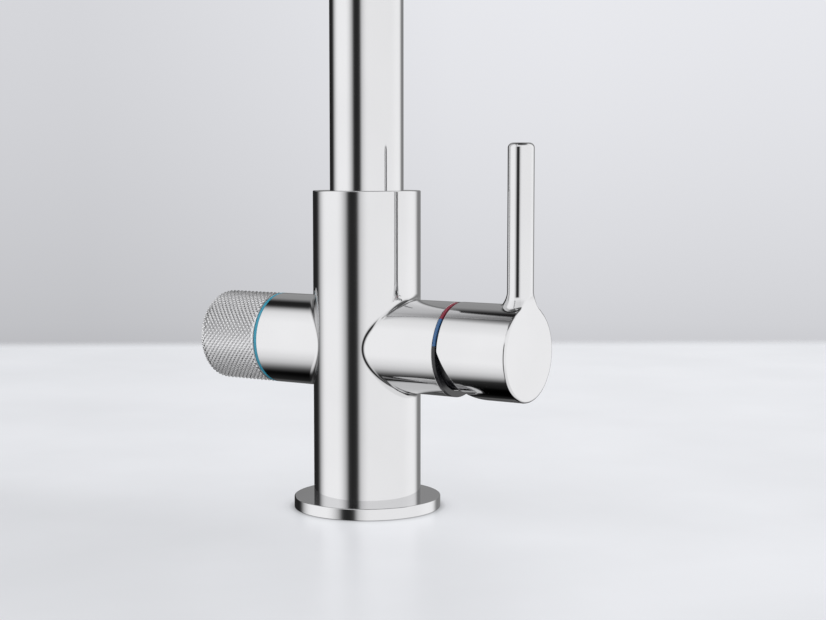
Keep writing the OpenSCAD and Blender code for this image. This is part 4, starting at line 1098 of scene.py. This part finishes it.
def makeNozzle():
    low, high = nodeBox("nozzle_ring")
    radius = high[0]
    shoulder = nodeBox("capsule_sleeve")[0][2]
    half = nozzleShape["pitch"] / 2.0
    edge = nozzleShape["edge"]
    rows = int(round((shoulder - low[2] - 2.0 * edge) / half))
    heights = np.linspace(low[2] + edge, shoulder - edge, rows + 1)
    track = np.stack([np.full_like(heights, radius), heights], axis=-1)
    trackNormals = np.zeros_like(track) + (1.0, 0.0)
    skin = [knurledBand(track, trackNormals, outlet, nozzleShape["around"], nozzleShape["depth"])]
    sunk = radius - nozzleShape["depth"] * 0.5
    sides = 2 * nozzleShape["around"]
    shelf = sunk - nozzleShape["bevel"]
    spigot, spigotTop, spigotEdge = (nozzleShape[size] for size in ("spigot", "spigotTop", "spigotEdge"))
    bore, boreTop, passage = (nozzleShape[size] for size in ("bore", "boreTop", "passage"))
    rest = ((sunk, heights[-1]), (shelf, shoulder), (spigot, shoulder), (spigot, spigotTop, spigotEdge),
            (passage, spigotTop), (passage, boreTop), (bore, boreTop), (bore, low[2], spigotEdge),
            (shelf, low[2], nozzleShape["lowerEdge"]), (sunk, heights[0]))
    skin.extend(lathe(outlineStrips(rest, closed=False), outlet, sides))
    nozzle = makePiece("nozzle_knurled", skin, "filter_holder", "knurled_metal", "nozzle_ring")
    nozzle.visible_glossy = False


makeNozzle()
print("nozzle made")


# The threaded shank below the worktop

shankShape = dict(pitch=2.0, depth=1.0, crest=0.08, flank=0.34, rowsPerTurn=8, sides=72, plainTop=0.5,
                  endTaper=1.2, topTaper=0.4, bore=13.5, boreEdge=0.3, slopeReach=0.02)


def makeShank():
    low, high = nodeBox("fixing_shank")
    radius = high[0]
    pitch = shankShape["pitch"]
    threadTop = nodeBox("base_flange")[0][2] - shankShape["plainTop"]
    rows = int(round((threadTop - low[2]) / pitch * shankShape["rowsPerTurn"]))
    angle = np.linspace(0.0, 2.0 * math.pi, shankShape["sides"] + 1)
    heights = np.linspace(low[2], threadTop, rows + 1)[:, None] + np.zeros((1, len(angle)))

    def reach(z, turn):
        phase = np.mod((z - low[2]) / pitch - turn / (2.0 * math.pi), 1.0)
        groove = np.clip((np.abs(phase - 0.5) - shankShape["crest"]) / shankShape["flank"], 0.0, 1.0)
        ending = np.minimum(np.clip((z - low[2]) / shankShape["endTaper"], 0.0, 1.0),
                            np.clip((threadTop - z) / shankShape["topTaper"], 0.0, 1.0))
        return radius - shankShape["depth"] * (1.0 - ending * groove)

    ring = reach(heights, angle[None])
    shift = shankShape["slopeReach"]
    slope = (reach(heights + shift, angle[None]) - reach(heights - shift, angle[None])) / (2.0 * shift)
    spread = np.stack([np.cos(angle), np.sin(angle)], axis=-1)[None] + np.zeros((rows + 1, 1, 1))
    points = np.concatenate([spread * ring[..., None], heights[..., None]], axis=-1)
    normals = unit(np.concatenate([spread, -slope[..., None]], axis=-1))
    skin = [(points, normals)]
    root = radius - shankShape["depth"]
    bore = shankShape["bore"]
    edge = shankShape["boreEdge"]
    rest = ((root, threadTop), (root, high[2]), (bore, high[2], edge), (bore, low[2], edge), (root, low[2]))
    skin.extend(lathe(outlineStrips(rest, closed=False), upright, shankShape["sides"]))
    shank = makePiece("shank_threaded", skin, "tap", "brass", "fixing_shank")
    shank.visible_glossy = False


makeShank()
print("shank made")
